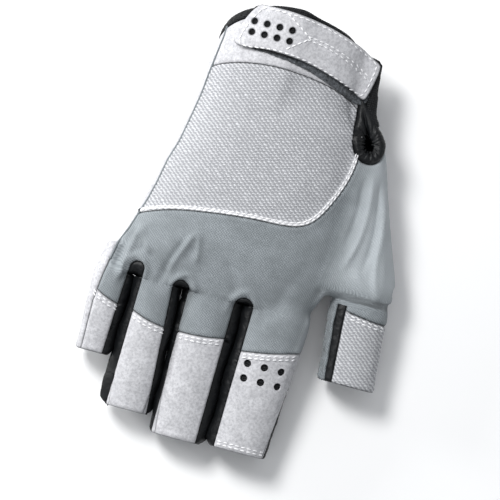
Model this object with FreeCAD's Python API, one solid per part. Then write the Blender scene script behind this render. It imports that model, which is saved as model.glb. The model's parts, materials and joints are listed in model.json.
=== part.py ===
"""Half-finger sailing glove for a right hand, lying on its palm.

Row frame, millimetres: +Z up out of the back of the hand, +Y from the fingers to the wrist, +X to the thumb.
The origin is the centre of the grip pad's flat underside, which is what the glove rests on.

The glove is a shell of cloth round a hand. The hand and the thumb root are lofts through superellipse
sections. Every panel is cut from that shell, and every overlay is a layer between two offsets of it, so
panels meet at their seams. Each finger stall is a tube that hinges at the knuckle. A soft base sleeve
fills the fold between the stall and the hand.
"""
import FreeCAD, Part
import math
import os

V = FreeCAD.Vector
X_AXIS = V(1, 0, 0)
Y_AXIS = V(0, 1, 0)
os.makedirs("parts", exist_ok=True)

# ---------------------------------------------------------------- cloth
CLOTH = 1.3            # thickness of every shell panel
PAD = 1.0              # thickness of the palm's grip pads
PATCH = 0.8            # thickness of the hook and the loop patches
STRAP = 1.6            # thickness of the wrist strap
BINDING = 0.5          # how far the bound edges stand proud, inside and outside
CLEAR = 0.3            # gap between cloth on different bodies
ROUNDNESS = 2.4        # exponent of the superellipse sections
SECTION_POINTS = 20

# ---------------------------------------------------------------- grading
# Positions below are drawn for a hand 94 mm across and 131 mm from wrist to knuckles. WIDE and LONG grade
# them to another hand, as a pattern maker does. Thicknesses, tapes and fastenings keep their own sizes.
HAND_WIDTH = 94.0
HAND_LENGTH = 131.0
WIDE = HAND_WIDTH / 94.0
LONG = HAND_LENGTH / 131.0

# ---------------------------------------------------------------- hand
# (y, centre x, half width, centre z, half height) of the outer surface
HAND = [
    (84.0, 1.0, 31.5, 22.0, 20.0),
    (62.0, 1.0, 32.5, 21.6, 20.2),
    (43.0, 0.0, 35.0, 19.8, 20.4),
    (24.0, 0.5, 37.5, 18.0, 19.6),
    (0.0, -1.5, 41.5, 16.8, 18.2),
    (-20.0, -4.0, 43.5, 16.6, 17.0),
    (-36.0, -7.8, 46.0, 17.0, 14.4),
    (-58.0, -9.6, 47.0, 17.0, 11.6),
]
THUMB_ROOT = [
    (46.0, 26.0, 8.0, 17.0, 9.0),
    (32.0, 34.5, 11.5, 16.2, 11.8),
    (12.0, 40.0, 13.2, 15.0, 12.6),
    (-8.0, 46.5, 14.0, 14.2, 12.4),
    (-22.0, 51.5, 14.0, 13.6, 12.0),
    (-44.0, 53.8, 12.6, 13.2, 11.2),
]
REST_Z = PAD           # the palm leather is flat where it lies on the pads
SEAM_Z = (20.0, 27.0)  # height of the back-to-palm seam at SEAM_Y
SEAM_Y = (-44.0 * LONG, 70.0 * LONG)

# ---------------------------------------------------------------- wrist
CUFF_TOP_Y = 77.5 * LONG  # the cuff's edge over the back of the wrist
CUFF_SLOPE = 0.66      # how fast the cuff's edge runs towards the fingers on its way down
CUFF_TOP_Z = 42.0
BINDING_WIDTH = 3.0
BACK_PANEL_TOP_Y = 52.5 * LONG
LINING = 0.8           # thickness of the cuff's soft lining
LINING_LENGTH = 14.0
ELASTIC_WIDTH = 8.0
ELASTIC_HALF_LENGTH = 17.0 * WIDE

# ---------------------------------------------------------------- wrist strap
STRAP_FROM_EDGE = 1.7  # from the cuff's edge to the strap, over the back of the wrist
STRAP_WIDTH = 19.0
STRAP_HIGH_Y = CUFF_TOP_Y - STRAP_FROM_EDGE
STRAP_LOW_Y = STRAP_HIGH_Y - STRAP_WIDTH
STRAP_ROOT_Z = 25.5    # the strap is sewn down here, at the thumb side
STRAP_TIP_X = -25.5 * WIDE
STRAP_TIP_CORNER = 5.0
PATCH_INSET = 1.6      # the patches stay this far inside the strap's edges
PATCH_LOW_Z = 30.0     # and on the upper side of the wrist
LOOP_X = (-21.0 * WIDE, 12.0 * WIDE)
HOOK_X = (-21.5 * WIDE, 1.0 * WIDE)
ANCHOR_LOW_Z = 16.5    # lower end of the tape that anchors the strap
ANCHOR = 2.4           # its thickness
STRAP_VENT_START = (STRAP_TIP_X + 5.4, STRAP_LOW_Y + 6.8)
STRAP_VENTS = (1.4, (5.4, 4.6), (4, 2))   # radius, pitch and count along X and Y

# ---------------------------------------------------------------- slit at the thumb side of the cuff
SLIT_LEAN = 50.0       # degrees between the slit's own normal and +Z
SLIT_TURN = 14.0       # degrees between the slit and the hand's length
SLIT_END_Y = 33.0 * LONG  # centre of the slit's round end
SLIT_END_R = 4.4
SLIT_HALF_WIDTH = 1.4
SLIT_TAPE = 3.0        # width of the tape that binds the slit
SLIT_X = 24.7 * WIDE  # a point inside the wrist on the normal through the round end
SLIT_Z = 12.1
SLIT_DEPTH = 40.0 * WIDE  # far enough to leave the wrist

# ---------------------------------------------------------------- back panel outline, seen from above
BACK_TOP_RIGHT_X = 35.0 * WIDE
BACK_CORNER = [(37.0 * WIDE, 14.0 * LONG), (28.5 * WIDE, -6.5 * LONG), (15.0 * WIDE, -9.5 * LONG)]
BACK_BELLY = (-10.0 * WIDE, -12.5 * LONG)
BACK_LEFT_Y = -17.0 * LONG  # where the lower edge leaves the glove on the little finger's side

# ---------------------------------------------------------------- grip pads under the palm
GRIP_X, GRIP_Y = (-19.0 * WIDE, 19.0 * WIDE), (-15.0 * LONG, 15.0 * LONG)
HEEL_X, HEEL_Y = (-17.0 * WIDE, 17.0 * WIDE), (18.0 * LONG, 37.0 * LONG)
GRIP_CORNER = 6.0
PIPING = 0.6           # how far the side piping stands out
PIPING_HALF = 0.8
SADDLE = 0.8           # thickness of the reinforcement over the thumb's crotch
SADDLE_X, SADDLE_Y, SADDLE_Z = (34.0 * WIDE, 48.0 * WIDE), (-30.0 * LONG, 2.0 * LONG), (4.0, 19.0)

# ---------------------------------------------------------------- finger stalls
KNUCKLE_Y = -47.0 * LONG  # hinge line of the four fingers
KNUCKLE_Z = 17.0
STALL_START = 3.0      # stalls begin this far beyond their hinge line, and the hand ends as far before it
HAND_END_Y = KNUCKLE_Y + STALL_START
FOLD_REACH = 12.6      # the palm is cut back this far from a hinge line, so that a stall can fold
FIRST_EDGE_X = -58.6 * WIDE   # little finger's outer edge
FINGER_GAP = 3.1 * WIDE
# half width and height at the base, half width and height at the tip, lean to the thumb, length, droop
FINGERS = {
    "little": (7.6, 9.0, 7.3, 7.6, 0.2, 35.0, 9.0),
    "ring": (9.4, 10.2, 9.3, 8.8, 0.4, 55.2, 6.5),
    "middle": (11.2, 10.6, 11.0, 9.2, -0.25, 61.6, 6.0),
    "index": (14.0, 10.8, 12.2, 9.5, -2.0, 60.6, 6.0),
}
FINGER_SEAM = 16.0     # from hinge line to the seam between stretch cloth and leather
SIDE_SHARE = 0.66      # share of a stall's half height that its side panels cover
LEATHER_PROUD = 0.4    # how much thicker a stall's leather is than its side cloth
PALM_GRIP = 0.7        # thickness of the grip strip under a stall
GRIP_SHARE = 0.86      # the grip strip lies below this share of the half height
GRIP_MARGIN = 5.0      # and stops this far short of the stall's ends
INDEX_VENT_START = (-7.4, -23.0)  # from the stall's centre line and its hinge line
INDEX_VENTS = (1.6, (7.4, 6.4), (3, 2))
VENT_BACKING = 0.5

# ---------------------------------------------------------------- thumb
THUMB_X = 53.6 * WIDE
THUMB = (12.4, 11.0, 12.0, 10.2, 2.8, 33.0, 2.0)
THUMB_HINGE_Y = -36.0 * LONG
THUMB_HINGE_Z = 13.2
THUMB_END_Y = THUMB_HINGE_Y + STALL_START
THUMB_SIDE_X = 39.5 * WIDE  # the plane between the hand's end and the thumb root's end
THUMB_SEAM = 5.0

# ---------------------------------------------------------------- webs between the fingers
WEB_HALF = 1.0
WEB_TOP_Z = 31.0       # where a web meets the back of the hand
WEB_DEPTH = 3.9        # its thickness, measured upright
WEB_REACH = 9.0        # how far it slopes beyond the back of the hand
WEB_DROP = 20.0        # how far it slopes down on the way
FAR = 200.0            # larger than the glove


# ================================================================ helpers
def signed_power(value, power):
    return math.copysign(abs(value) ** power, value)


def ring(y, cx, half_w, cz, half_h):
    """A closed superellipse wire in the plane at y."""
    points = []
    for k in range(SECTION_POINTS):
        t = 2 * math.pi * k / SECTION_POINTS
        x = cx + half_w * signed_power(math.cos(t), 2 / ROUNDNESS)
        z = cz + half_h * signed_power(math.sin(t), 2 / ROUNDNESS)
        points.append(V(x, y, z))
    curve = Part.BSplineCurve()
    curve.interpolate(Points=points, PeriodicFlag=True)
    return Part.Wire(curve.toShape())


def graded(sections):
    """Sections drawn for the base hand, graded to this one."""
    return [(y * LONG, cx * WIDE, a * WIDE, cz, b) for y, cx, a, cz, b in sections]


def loft(sections, grow=0.0):
    """A solid through the sections, grown outwards by grow."""
    rings = [ring(y, cx, a + grow, cz, b + grow) for y, cx, a, cz, b in sections]
    return Part.makeLoft(rings, True, False)


def block(x, y, z):
    """An axis-aligned box from (low, high) pairs."""
    return Part.makeBox(x[1] - x[0], y[1] - y[0], z[1] - z[0], V(x[0], y[0], z[0]))


def side_prism(points, x=(-FAR, FAR)):
    """A polygon in y and z, extruded along x."""
    corners = [V(x[0], y, z) for y, z in points]
    return Part.Face(Part.makePolygon(corners + corners[:1])).extrude(V(x[1] - x[0], 0, 0))


def plan_prism(edges, z=(-FAR, FAR)):
    """A closed outline drawn at z = 0, extruded along z."""
    face = Part.Face(Part.Wire(edges))
    face.translate(V(0, 0, z[0]))
    return face.extrude(V(0, 0, z[1] - z[0]))


def solids_of(shape, smallest=0.5):
    """One shape of the real solids, without slivers."""
    kept = [s for s in shape.Solids if s.Volume > smallest]
    return Part.makeCompound(kept) if len(kept) > 1 else kept[0]


def export(name, shape):
    shape = solids_of(shape)
    shape.exportStep(f"parts/{name}.step")
    print(f"{name}: {len(shape.Solids)} solid, {shape.Volume / 1000:.2f} cm3, valid {shape.isValid()}")


# ================================================================ the hand's solids and regions
def body(grow, floor):
    """Hand and thumb root as one solid, grown by grow and cut flat at floor."""
    whole = loft(graded(HAND), grow).fuse(loft(graded(THUMB_ROOT), grow))
    return whole.cut(block((-FAR, FAR), (-FAR, FAR), (-FAR, floor)))


def before_cuff(edge_y):
    """Everything on the fingers' side of a plane parallel to the cuff's edge."""
    low = -FAR
    return side_prism([
        (low, low),
        (edge_y - CUFF_SLOPE * (CUFF_TOP_Z - low), low),
        (edge_y - CUFF_SLOPE * (CUFF_TOP_Z - FAR), FAR),
        (low, FAR),
    ])


def above_seam():
    """Everything over the seam between the back and the palm."""
    rise = (SEAM_Z[1] - SEAM_Z[0]) / (SEAM_Y[1] - SEAM_Y[0])
    return side_prism([
        (-FAR, SEAM_Z[0] + rise * (-FAR - SEAM_Y[0])),
        (FAR, SEAM_Z[0] + rise * (FAR - SEAM_Y[0])),
        (FAR, FAR),
        (-FAR, FAR),
    ])


def fold_room():
    """What is cut from the shell at the stalls: all beyond the hand's end, and under it what a fold needs."""
    hand_x = (-FAR, THUMB_SIDE_X)
    thumb_x = (THUMB_SIDE_X, FAR)
    beyond = block(hand_x, (-FAR, HAND_END_Y), (-FAR, FAR))
    thumb_beyond = block(thumb_x, (-FAR, THUMB_END_Y), (-FAR, FAR))
    fold = block(hand_x, (-FAR, KNUCKLE_Y + FOLD_REACH), (-FAR, KNUCKLE_Z))
    thumb_fold = block(thumb_x, (-FAR, THUMB_HINGE_Y + FOLD_REACH), (-FAR, THUMB_HINGE_Z))
    return beyond.fuse([fold, thumb_beyond, thumb_fold])


def slit_cutter(margin=0.0):
    """A keyhole from the cuff's edge to its round end, along the slit's own normal."""
    end = Part.makeCylinder(SLIT_END_R + margin, SLIT_DEPTH)
    half = SLIT_HALF_WIDTH + margin
    channel = block((-half, half), (0, FAR / 2), (0, SLIT_DEPTH))
    keyhole = end.fuse(channel)
    keyhole.rotate(V(0, 0, 0), V(0, 0, 1), SLIT_TURN)
    keyhole.rotate(V(0, 0, 0), Y_AXIS, SLIT_LEAN)
    keyhole.translate(V(SLIT_X, SLIT_END_Y, SLIT_Z))
    return keyhole


def back_outline():
    """The knit back panel, seen from above: a straight thumb side, a rounded corner and a bowed lower edge."""
    top_left = V(-FAR / 2, FAR / 2, 0)
    top_right = V(BACK_TOP_RIGHT_X, FAR / 2, 0)
    low_left = V(-FAR / 2, BACK_LEFT_Y, 0)
    corner = [V(x, y, 0) for x, y in BACK_CORNER]
    belly = V(BACK_BELLY[0], BACK_BELLY[1], 0)
    return [
        Part.LineSegment(top_left, top_right).toShape(),
        Part.LineSegment(top_right, corner[0]).toShape(),
        Part.Arc(*corner).toShape(),
        Part.Arc(corner[2], belly, low_left).toShape(),
        Part.LineSegment(low_left, top_left).toShape(),
    ]


def vent_holes(start, vents):
    """Rows of round vent cutters, from the first one's x and y."""
    radius, pitch, count = vents
    holes = []
    for k in range(count[0]):
        for row in range(count[1]):
            place_at = V(start[0] + pitch[0] * k, start[1] + pitch[1] * row, 0)
            holes.append(Part.makeCylinder(radius, FAR, place_at))
    return holes[0].fuse(holes[1:])


def rounded_plate(x, y, z, radius):
    """A flat plate with rounded corners."""
    plate = block(x, y, z)
    upright = [e for e in plate.Edges if abs(e.tangentAt(e.FirstParameter).z) > 0.99]
    return plate.makeFillet(radius, upright)


def band(low_y, high_y):
    """The slice of space between two planes parallel to the cuff's edge."""
    return before_cuff(high_y).cut(before_cuff(low_y))


# ================================================================ the shell of the hand
outer = body(0.0, REST_Z)
inner = body(-CLOTH, REST_Z + CLOTH)
proud = body(BINDING, REST_Z)
recessed = body(-CLOTH - BINDING, REST_Z + CLOTH + BINDING)
shell = outer.cut(inner)
tape_layer = proud.cut(recessed)
room = fold_room()
slit = slit_cutter()
slit_wide = slit_cutter(SLIT_TAPE)
upper = above_seam()
main_region = before_cuff(CUFF_TOP_Y - BINDING_WIDTH)
panel_shell = shell.common(main_region).cut(room).cut(slit_wide)
back_shell = panel_shell.common(upper)

# ---------------------------------------------------------------- panels of the hand
below_band = before_cuff(BACK_PANEL_TOP_Y)
back_prism = plan_prism(back_outline())
export("back_knit_panel", back_shell.common(below_band).common(back_prism))
export("knuckle_stretch_panel", back_shell.common(below_band).cut(back_prism))
export("wrist_band", back_shell.cut(below_band))
export("palm_leather", panel_shell.cut(upper))

# ---------------------------------------------------------------- bound edges
cuff_ring = before_cuff(CUFF_TOP_Y).cut(main_region)
cuff_edge = tape_layer.common(cuff_ring).cut(slit_wide)
export("cuff_binding", cuff_edge)
slit_band = slit_wide.cut(slit)
export("slit_binding", tape_layer.common(before_cuff(CUFF_TOP_Y)).common(slit_band))

# ---------------------------------------------------------------- inside the cuff
lining_layer = inner.cut(body(-CLOTH - LINING, REST_Z + CLOTH + LINING)).cut(slit_wide)
lining_low_y = CUFF_TOP_Y - BINDING_WIDTH - LINING_LENGTH
export("cuff_lining", lining_layer.common(band(lining_low_y, CUFF_TOP_Y - BINDING_WIDTH)))
elastic_length = (-ELASTIC_HALF_LENGTH, ELASTIC_HALF_LENGTH)
elastic_box = block(elastic_length, (-FAR, FAR), (-FAR, SEAM_Z[0] - CLOTH))
elastic_band = band(lining_low_y - ELASTIC_WIDTH, lining_low_y)
export("wrist_elastic", lining_layer.common(elastic_band).common(elastic_box))

# ---------------------------------------------------------------- wrist strap and its patches
patch_band = band(STRAP_LOW_Y + PATCH_INSET, STRAP_HIGH_Y - PATCH_INSET)
patch_top = body(PATCH, REST_Z)
loop_box = block(LOOP_X, (-FAR, FAR), (PATCH_LOW_Z, FAR))
export("loop_patch", patch_top.cut(outer).common(patch_band).common(loop_box))

hook_low = body(PATCH + CLEAR, REST_Z)
strap_low = body(2 * PATCH + CLEAR, REST_Z)
strap_high = body(2 * PATCH + CLEAR + STRAP, REST_Z)
hook_box = block(HOOK_X, (-FAR, FAR), (PATCH_LOW_Z, FAR))
export("hook_patch", strap_low.cut(hook_low).common(patch_band).common(hook_box))

strap_y = (STRAP_LOW_Y, STRAP_HIGH_Y)
strap_box = rounded_plate((STRAP_TIP_X, FAR), strap_y, (STRAP_ROOT_Z, FAR), STRAP_TIP_CORNER)
tip_end_x = STRAP_TIP_X + 2 * STRAP_TIP_CORNER
tip_box = strap_box.common(block((-FAR, tip_end_x), (-FAR, FAR), (-FAR, FAR)))
rest_box = block((tip_end_x, FAR), (-FAR, FAR), (STRAP_ROOT_Z, FAR))
strap = strap_high.cut(strap_low).common(band(STRAP_LOW_Y, STRAP_HIGH_Y))
strap = strap.common(rest_box.fuse(tip_box))
export("strap_tab", strap.cut(vent_holes(STRAP_VENT_START, STRAP_VENTS)))

anchor_box = block((0, FAR), (-FAR, FAR), (ANCHOR_LOW_Z, STRAP_ROOT_Z - CLEAR))
anchor = body(ANCHOR, REST_Z).common(band(STRAP_LOW_Y, STRAP_HIGH_Y)).common(anchor_box)
export("strap_anchor_tape", anchor.cut(outer).cut(slit_wide).cut(cuff_edge))

# ---------------------------------------------------------------- under the palm and along the side
export("palm_grip_pad", rounded_plate(GRIP_X, GRIP_Y, (0, PAD), GRIP_CORNER))
export("heel_grip_pad", rounded_plate(HEEL_X, HEEL_Y, (0, PAD), GRIP_CORNER))

seam_slice = upper.cut(upper.translated(V(0, 0, 2 * PIPING_HALF))).translated(V(0, 0, -PIPING_HALF))
piping = body(PIPING, REST_Z).cut(outer).common(seam_slice).common(main_region).cut(room)
export("side_piping", piping.common(block((-FAR, -20), (-FAR, FAR), (0, FAR))))
saddle_box = block(SADDLE_X, SADDLE_Y, SADDLE_Z)
saddle = body(SADDLE, REST_Z).cut(outer).common(saddle_box).cut(room).cut(upper)
export("thumb_saddle_patch", saddle)

# ================================================================ finger stalls
def stall_centres():
    """Centre lines of the four stalls, laid side by side with the finger gap, and the webs' planes between."""
    centres, webs = {}, []
    edge = FIRST_EDGE_X
    for name, facts in FINGERS.items():
        half = facts[0] * WIDE
        centres[name] = edge + half
        edge += 2 * half + FINGER_GAP
        webs.append(edge - FINGER_GAP / 2)
    return centres, webs[:-1]


def place(shape, hinge_y, hinge_z, droop):
    """From a stall's own frame, hinge line at the origin, to the row frame."""
    shape.rotate(V(0, 0, 0), X_AXIS, droop)
    shape.translate(V(0, hinge_y, hinge_z))
    return shape


def stall_body(cx, facts, grow=0.0):
    """A tapered tube's solid along -Y, in the stall's own frame."""
    a0, b0, a1, b1, lean, length, _ = facts
    sections = [
        (-STALL_START, cx, a0 * WIDE, 0.0, b0),
        (-(STALL_START + length) / 2, cx + lean / 2, (a0 + a1) / 2 * WIDE, 0.0, (b0 + b1) / 2),
        (-length, cx + lean, a1 * WIDE, 0.0, b1),
    ]
    return loft(sections, grow)


def stall(name, cx, facts, hinge_y, hinge_z, seam, sides, vent_start=None):
    """Writes the panels of one stall and returns the space beyond its base."""
    _, b0, _, b1, lean, length, droop = facts
    grown = stall_body(cx, facts, LEATHER_PROUD)
    solid = stall_body(cx, facts)
    hollow = stall_body(cx, facts, -CLOTH)
    cloth = solid.cut(hollow)
    leather = grown.cut(hollow)
    side_top = SIDE_SHARE * min(b0, b1)
    over = block((-FAR, FAR), (-FAR, FAR), (side_top, FAR))
    under = block((-FAR, FAR), (-FAR, FAR), (-FAR, -side_top))
    near = block((-FAR, FAR), (-seam, FAR), (-FAR, FAR))
    made = {
        f"{name}_back": cloth.common(over).common(near),
        f"{name}_cuff": leather.common(over).cut(near),
        f"{name}_palm": leather.common(under),
    }
    side = cloth.cut(over).cut(under)
    thumbward = block((cx + lean / 2, FAR), (-FAR, FAR), (-FAR, FAR))
    made[f"{name}_{sides[0]}"] = side.cut(thumbward)
    made[f"{name}_{sides[1]}"] = side.common(thumbward)
    grip_box = block((-FAR, FAR), (-length + GRIP_MARGIN, -STALL_START - GRIP_MARGIN), (-FAR, -GRIP_SHARE * b0))
    grip = stall_body(cx, facts, LEATHER_PROUD + PALM_GRIP).cut(grown)
    made[f"{name}_grip"] = grip.common(grip_box)
    if vent_start:
        radius, pitch, count = INDEX_VENTS
        x, y = cx + vent_start[0], vent_start[1]
        depth = pitch[1] * (count[1] - 1)
        made[f"{name}_cuff"] = made[f"{name}_cuff"].cut(vent_holes((x, y - depth), INDEX_VENTS))
        backing = hollow.cut(stall_body(cx, facts, -CLOTH - VENT_BACKING)).common(over)
        reach = 2 * radius
        patch_x = (x - reach, x + pitch[0] * (count[0] - 1) + reach)
        patch_y = (y - depth - reach, y + reach)
        made[f"{name}_vent_backing"] = backing.common(block(patch_x, patch_y, (0, FAR)))
    for node, shape in made.items():
        export(node, place(shape, hinge_y, hinge_z, droop))
    return place(block((-FAR, FAR), (-FAR, -STALL_START + CLEAR), (-FAR, FAR)), hinge_y, hinge_z, droop)


SIDES = ("outer_side", "inner_side")  # from the little finger towards the thumb, and the other way on the thumb
stall_x, web_x = stall_centres()
beyond_base = {}
for name, facts in FINGERS.items():
    vents = INDEX_VENT_START if name == "index" else None
    beyond_base[name] = stall(name, stall_x[name], facts, KNUCKLE_Y, KNUCKLE_Z, FINGER_SEAM, SIDES, vents)
thumb_beyond_base = stall("thumb", THUMB_X, THUMB, THUMB_HINGE_Y, THUMB_HINGE_Z, THUMB_SEAM, SIDES[::-1])

# ---------------------------------------------------------------- webs between the fingers
web_end = HAND_END_Y - WEB_REACH
web_slope = side_prism([
    (HAND_END_Y, WEB_TOP_Z),
    (HAND_END_Y, WEB_TOP_Z - WEB_DEPTH),
    (web_end + CLOTH, WEB_TOP_Z - WEB_DEPTH - WEB_DROP),
    (web_end, WEB_TOP_Z - WEB_DEPTH - WEB_DROP),
    (web_end, WEB_TOP_Z - WEB_DROP),
])
for name, x in zip(("little_ring_web", "ring_middle_web", "middle_index_web"), web_x):
    export(name, web_slope.common(block((x - WEB_HALF, x + WEB_HALF), (-FAR, FAR), (-FAR, FAR))).common(outer))

# ---------------------------------------------------------------- base sleeves, which fold with the stalls
hand_tube = loft(graded(HAND)).cut(loft(graded(HAND), -CLOTH)).common(room)
hand_tube = hand_tube.cut(block((-FAR, FAR), (-FAR, KNUCKLE_Y - STALL_START), (-FAR, FAR)))
walls = [-FAR] + web_x + [THUMB_SIDE_X]
for k, name in enumerate(FINGERS):
    lane = block((walls[k] + WEB_HALF, walls[k + 1] - WEB_HALF), (-FAR, FAR), (-FAR, FAR))
    export(f"{name}_base_sleeve", hand_tube.common(lane).cut(beyond_base[name]))
thumb_tube = loft(graded(THUMB_ROOT)).cut(loft(graded(THUMB_ROOT), -CLOTH)).common(room)
thumb_tube = thumb_tube.common(block((THUMB_SIDE_X, FAR), (THUMB_HINGE_Y - STALL_START, FAR), (-FAR, FAR)))
export("thumb_base_sleeve", thumb_tube.cut(thumb_beyond_base))
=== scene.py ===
# %% [markdown]
# # A half-finger sailing glove
#
# A glove is a skin. Its panels are cut flat and sewn edge to edge, and a hand gives them their form. This
# lesson builds it in that order. First comes one smooth form, as if a hand filled the glove. The form's
# surface is then cut along the seams, and each panel is finished by itself: its edges are turned into the
# seam, it gets its folds and its thickness, and it is sewn with real thread.

# %% Load the fixed frame
import json
import math
import random

import bmesh
import bpy
import numpy as np
from mathutils import Matrix, Vector, noise
from mathutils.bvhtree import BVHTree
from mathutils.kdtree import KDTree


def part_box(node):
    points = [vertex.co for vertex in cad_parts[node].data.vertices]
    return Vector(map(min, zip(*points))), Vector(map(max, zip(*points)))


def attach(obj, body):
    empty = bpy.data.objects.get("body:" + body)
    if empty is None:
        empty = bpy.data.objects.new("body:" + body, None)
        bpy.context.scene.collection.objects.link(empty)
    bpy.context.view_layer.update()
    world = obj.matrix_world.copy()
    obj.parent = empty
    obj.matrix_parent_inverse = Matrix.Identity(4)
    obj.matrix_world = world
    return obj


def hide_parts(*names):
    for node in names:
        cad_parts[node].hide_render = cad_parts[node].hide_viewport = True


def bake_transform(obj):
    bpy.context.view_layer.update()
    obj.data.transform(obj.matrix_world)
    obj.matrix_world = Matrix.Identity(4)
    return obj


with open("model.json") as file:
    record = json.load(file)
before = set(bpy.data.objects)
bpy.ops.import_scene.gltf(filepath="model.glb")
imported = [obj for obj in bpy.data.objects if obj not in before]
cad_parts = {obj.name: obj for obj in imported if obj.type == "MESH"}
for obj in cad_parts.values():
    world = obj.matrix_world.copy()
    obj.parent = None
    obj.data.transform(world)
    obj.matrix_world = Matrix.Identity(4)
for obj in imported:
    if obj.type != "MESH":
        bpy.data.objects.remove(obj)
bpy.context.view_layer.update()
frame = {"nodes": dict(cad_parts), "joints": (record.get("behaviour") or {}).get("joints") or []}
MM = 0.001
hinge = {joint["child"]: [value / MM for value in joint["pos_m"]] for joint in frame["joints"]}

# %% [markdown]
# ## Camera, light and floor
#
# The glove lies on a white table and is seen from straight above, a little turned. A long lens keeps the
# fingers as wide as they are. A large soft lamp at the upper left lets the shadow fall to the lower right,
# and a pale world fills it. All of it is plain, so that the cloth does the talking.

# %% Camera, lamps, floor
VIEW_TURN = math.radians(15.0)
VIEW_CENTRE = Vector((2.6, -23.9, 18.0)) * MM
VIEW_WIDTH = 210.0 * MM
VIEW_DISTANCE = 1.6

scene = bpy.context.scene
camera_data = bpy.data.cameras.new("camera")
camera_data.lens = camera_data.sensor_width * VIEW_DISTANCE / VIEW_WIDTH
camera = bpy.data.objects.new("camera", camera_data)
camera.location = VIEW_CENTRE + Vector((0, 0, VIEW_DISTANCE))
camera.rotation_euler = (0, 0, VIEW_TURN)
scene.collection.objects.link(camera)
scene.camera = camera


def lamp(name, place, size, power):
    """A square area lamp that looks at the glove. Place is in metres."""
    data = bpy.data.lights.new(name, "AREA")
    data.size = size
    data.energy = power
    obj = bpy.data.objects.new(name, data)
    obj.location = place
    obj.rotation_euler = (VIEW_CENTRE - Vector(place)).to_track_quat("-Z", "Y").to_euler()
    scene.collection.objects.link(obj)


lamp("key_lamp", (-0.42, 0.34, 0.78), 0.28, 7.6)
lamp("rake_lamp", (-0.75, 0.16, 0.24), 0.22, 3.4)
lamp("top_lamp", (0.05, 0.10, 1.25), 0.9, 2.0)

world = bpy.data.worlds.new("soft_studio")
world.use_nodes = True
sky = world.node_tree.nodes["Background"]
sky.inputs["Color"].default_value = (0.93, 0.96, 1.0, 1)
sky.inputs["Strength"].default_value = 0.38
scene.world = world
scene.view_settings.view_transform = "Standard"

floor_mesh = bpy.data.meshes.new("floor")
bm = bmesh.new()
bmesh.ops.create_grid(bm, x_segments=1, y_segments=1, size=3.0)
bm.to_mesh(floor_mesh)
bm.free()
floor = bpy.data.objects.new("floor", floor_mesh)
floor_paint = bpy.data.materials.new("white_table")
floor_paint.use_nodes = True
floor_shader = floor_paint.node_tree.nodes["Principled BSDF"]
floor_shader.inputs["Base Color"].default_value = (0.95, 0.95, 0.95, 1)
floor_shader.inputs["Roughness"].default_value = 0.9
floor_mesh.materials.append(floor_paint)
scene.collection.objects.link(floor)
print("the camera sees", round(VIEW_WIDTH / MM), "mm of the table")

# %% [markdown]
# ## Reading the form from the frame
#
# The CAD shells give the outer size everywhere. Rays shot at them from outside, ring by ring, measure how
# far the cloth stands from a line down the middle of each tube. Where a shell is open, as past the cuff's
# edge, a ring borrows from its neighbour. Nothing is copied by hand, so the form follows the frame.

# %% Rings of points from the CAD shells
RING_POINTS = 64
RING_ANGLES = 2 * math.pi * np.arange(RING_POINTS) / RING_POINTS
RAY_START = 150.0         # mm from the centre line, outside every shell
HAND_SHELL = ["back_knit_panel", "knuckle_stretch_panel", "wrist_band", "palm_leather"]
STALL_SHELL = ["back", "cuff", "palm", "outer_side", "inner_side"]
FINGERS = ["little", "ring", "middle", "index"]
STALLS = FINGERS + ["thumb"]
GAPS = list(zip(FINGERS, FINGERS[1:]))


def shell_tree(names):
    """A search tree of the CAD nodes' triangles, in millimetres."""
    points, faces = [], []
    for name in names:
        mesh = frame["nodes"][name].data
        base = len(points)
        points += [v.co / MM for v in mesh.vertices]
        faces += [[base + i for i in p.vertices] for p in mesh.polygons]
    return BVHTree.FromPolygons(points, faces)


def measured_rings(tree, stations, centre_of):
    """Radii of the shell about a centre line: one row per station, one column per angle."""
    rows = np.full((len(stations), RING_POINTS), np.nan)
    for i, y in enumerate(stations):
        cx, cz = centre_of(y)
        for k, angle in enumerate(RING_ANGLES):
            out = Vector((math.cos(angle), 0, math.sin(angle)))
            hit = tree.ray_cast(Vector((cx, y, cz)) + out * RAY_START, -out, RAY_START)[0]
            if hit:
                rows[i, k] = (hit - Vector((cx, y, cz))).dot(out)
    for k in range(RING_POINTS):
        known = np.flatnonzero(~np.isnan(rows[:, k]))
        rows[:, k] = np.interp(np.arange(len(stations)), known, rows[known, k])
    return rows


def ring_points(row, y, centre):
    """The points of one measured ring."""
    cx, cz = centre
    return [Vector((cx + r * math.cos(t), y, cz + r * math.sin(t))) for r, t in zip(row, RING_ANGLES)]


def add_tube(bm, rings):
    """A closed tube through the rings: a capped circle, extruded from ring to ring."""
    loop = bmesh.ops.create_circle(bm, cap_ends=True, segments=RING_POINTS, radius=1.0)["verts"]
    for vert, point in zip(loop, rings[0]):
        vert.co = point
    for ring in rings[1:]:
        edges = [bm.edges.get((loop[k], loop[k - 1])) for k in range(RING_POINTS)]
        grown = bmesh.ops.extrude_edge_only(bm, edges=edges)["geom"]
        fresh = {v for v in grown if isinstance(v, bmesh.types.BMVert)}
        following = []
        for vert in loop:
            following.append(next(e.other_vert(vert) for e in vert.link_edges if e.other_vert(vert) in fresh))
        loop = following
        for vert, point in zip(loop, ring):
            vert.co = point
    bmesh.ops.contextual_create(bm, geom=[bm.edges.get((loop[k], loop[k - 1])) for k in range(RING_POINTS)])


def middle_line(low, high):
    """The line between two points given as (y, x, z), as a function of y."""
    def centre_of(y):
        share = (y - low[0]) / (high[0] - low[0])
        return low[1] + (high[1] - low[1]) * share, low[2] + (high[2] - low[2]) * share
    return centre_of


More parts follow.
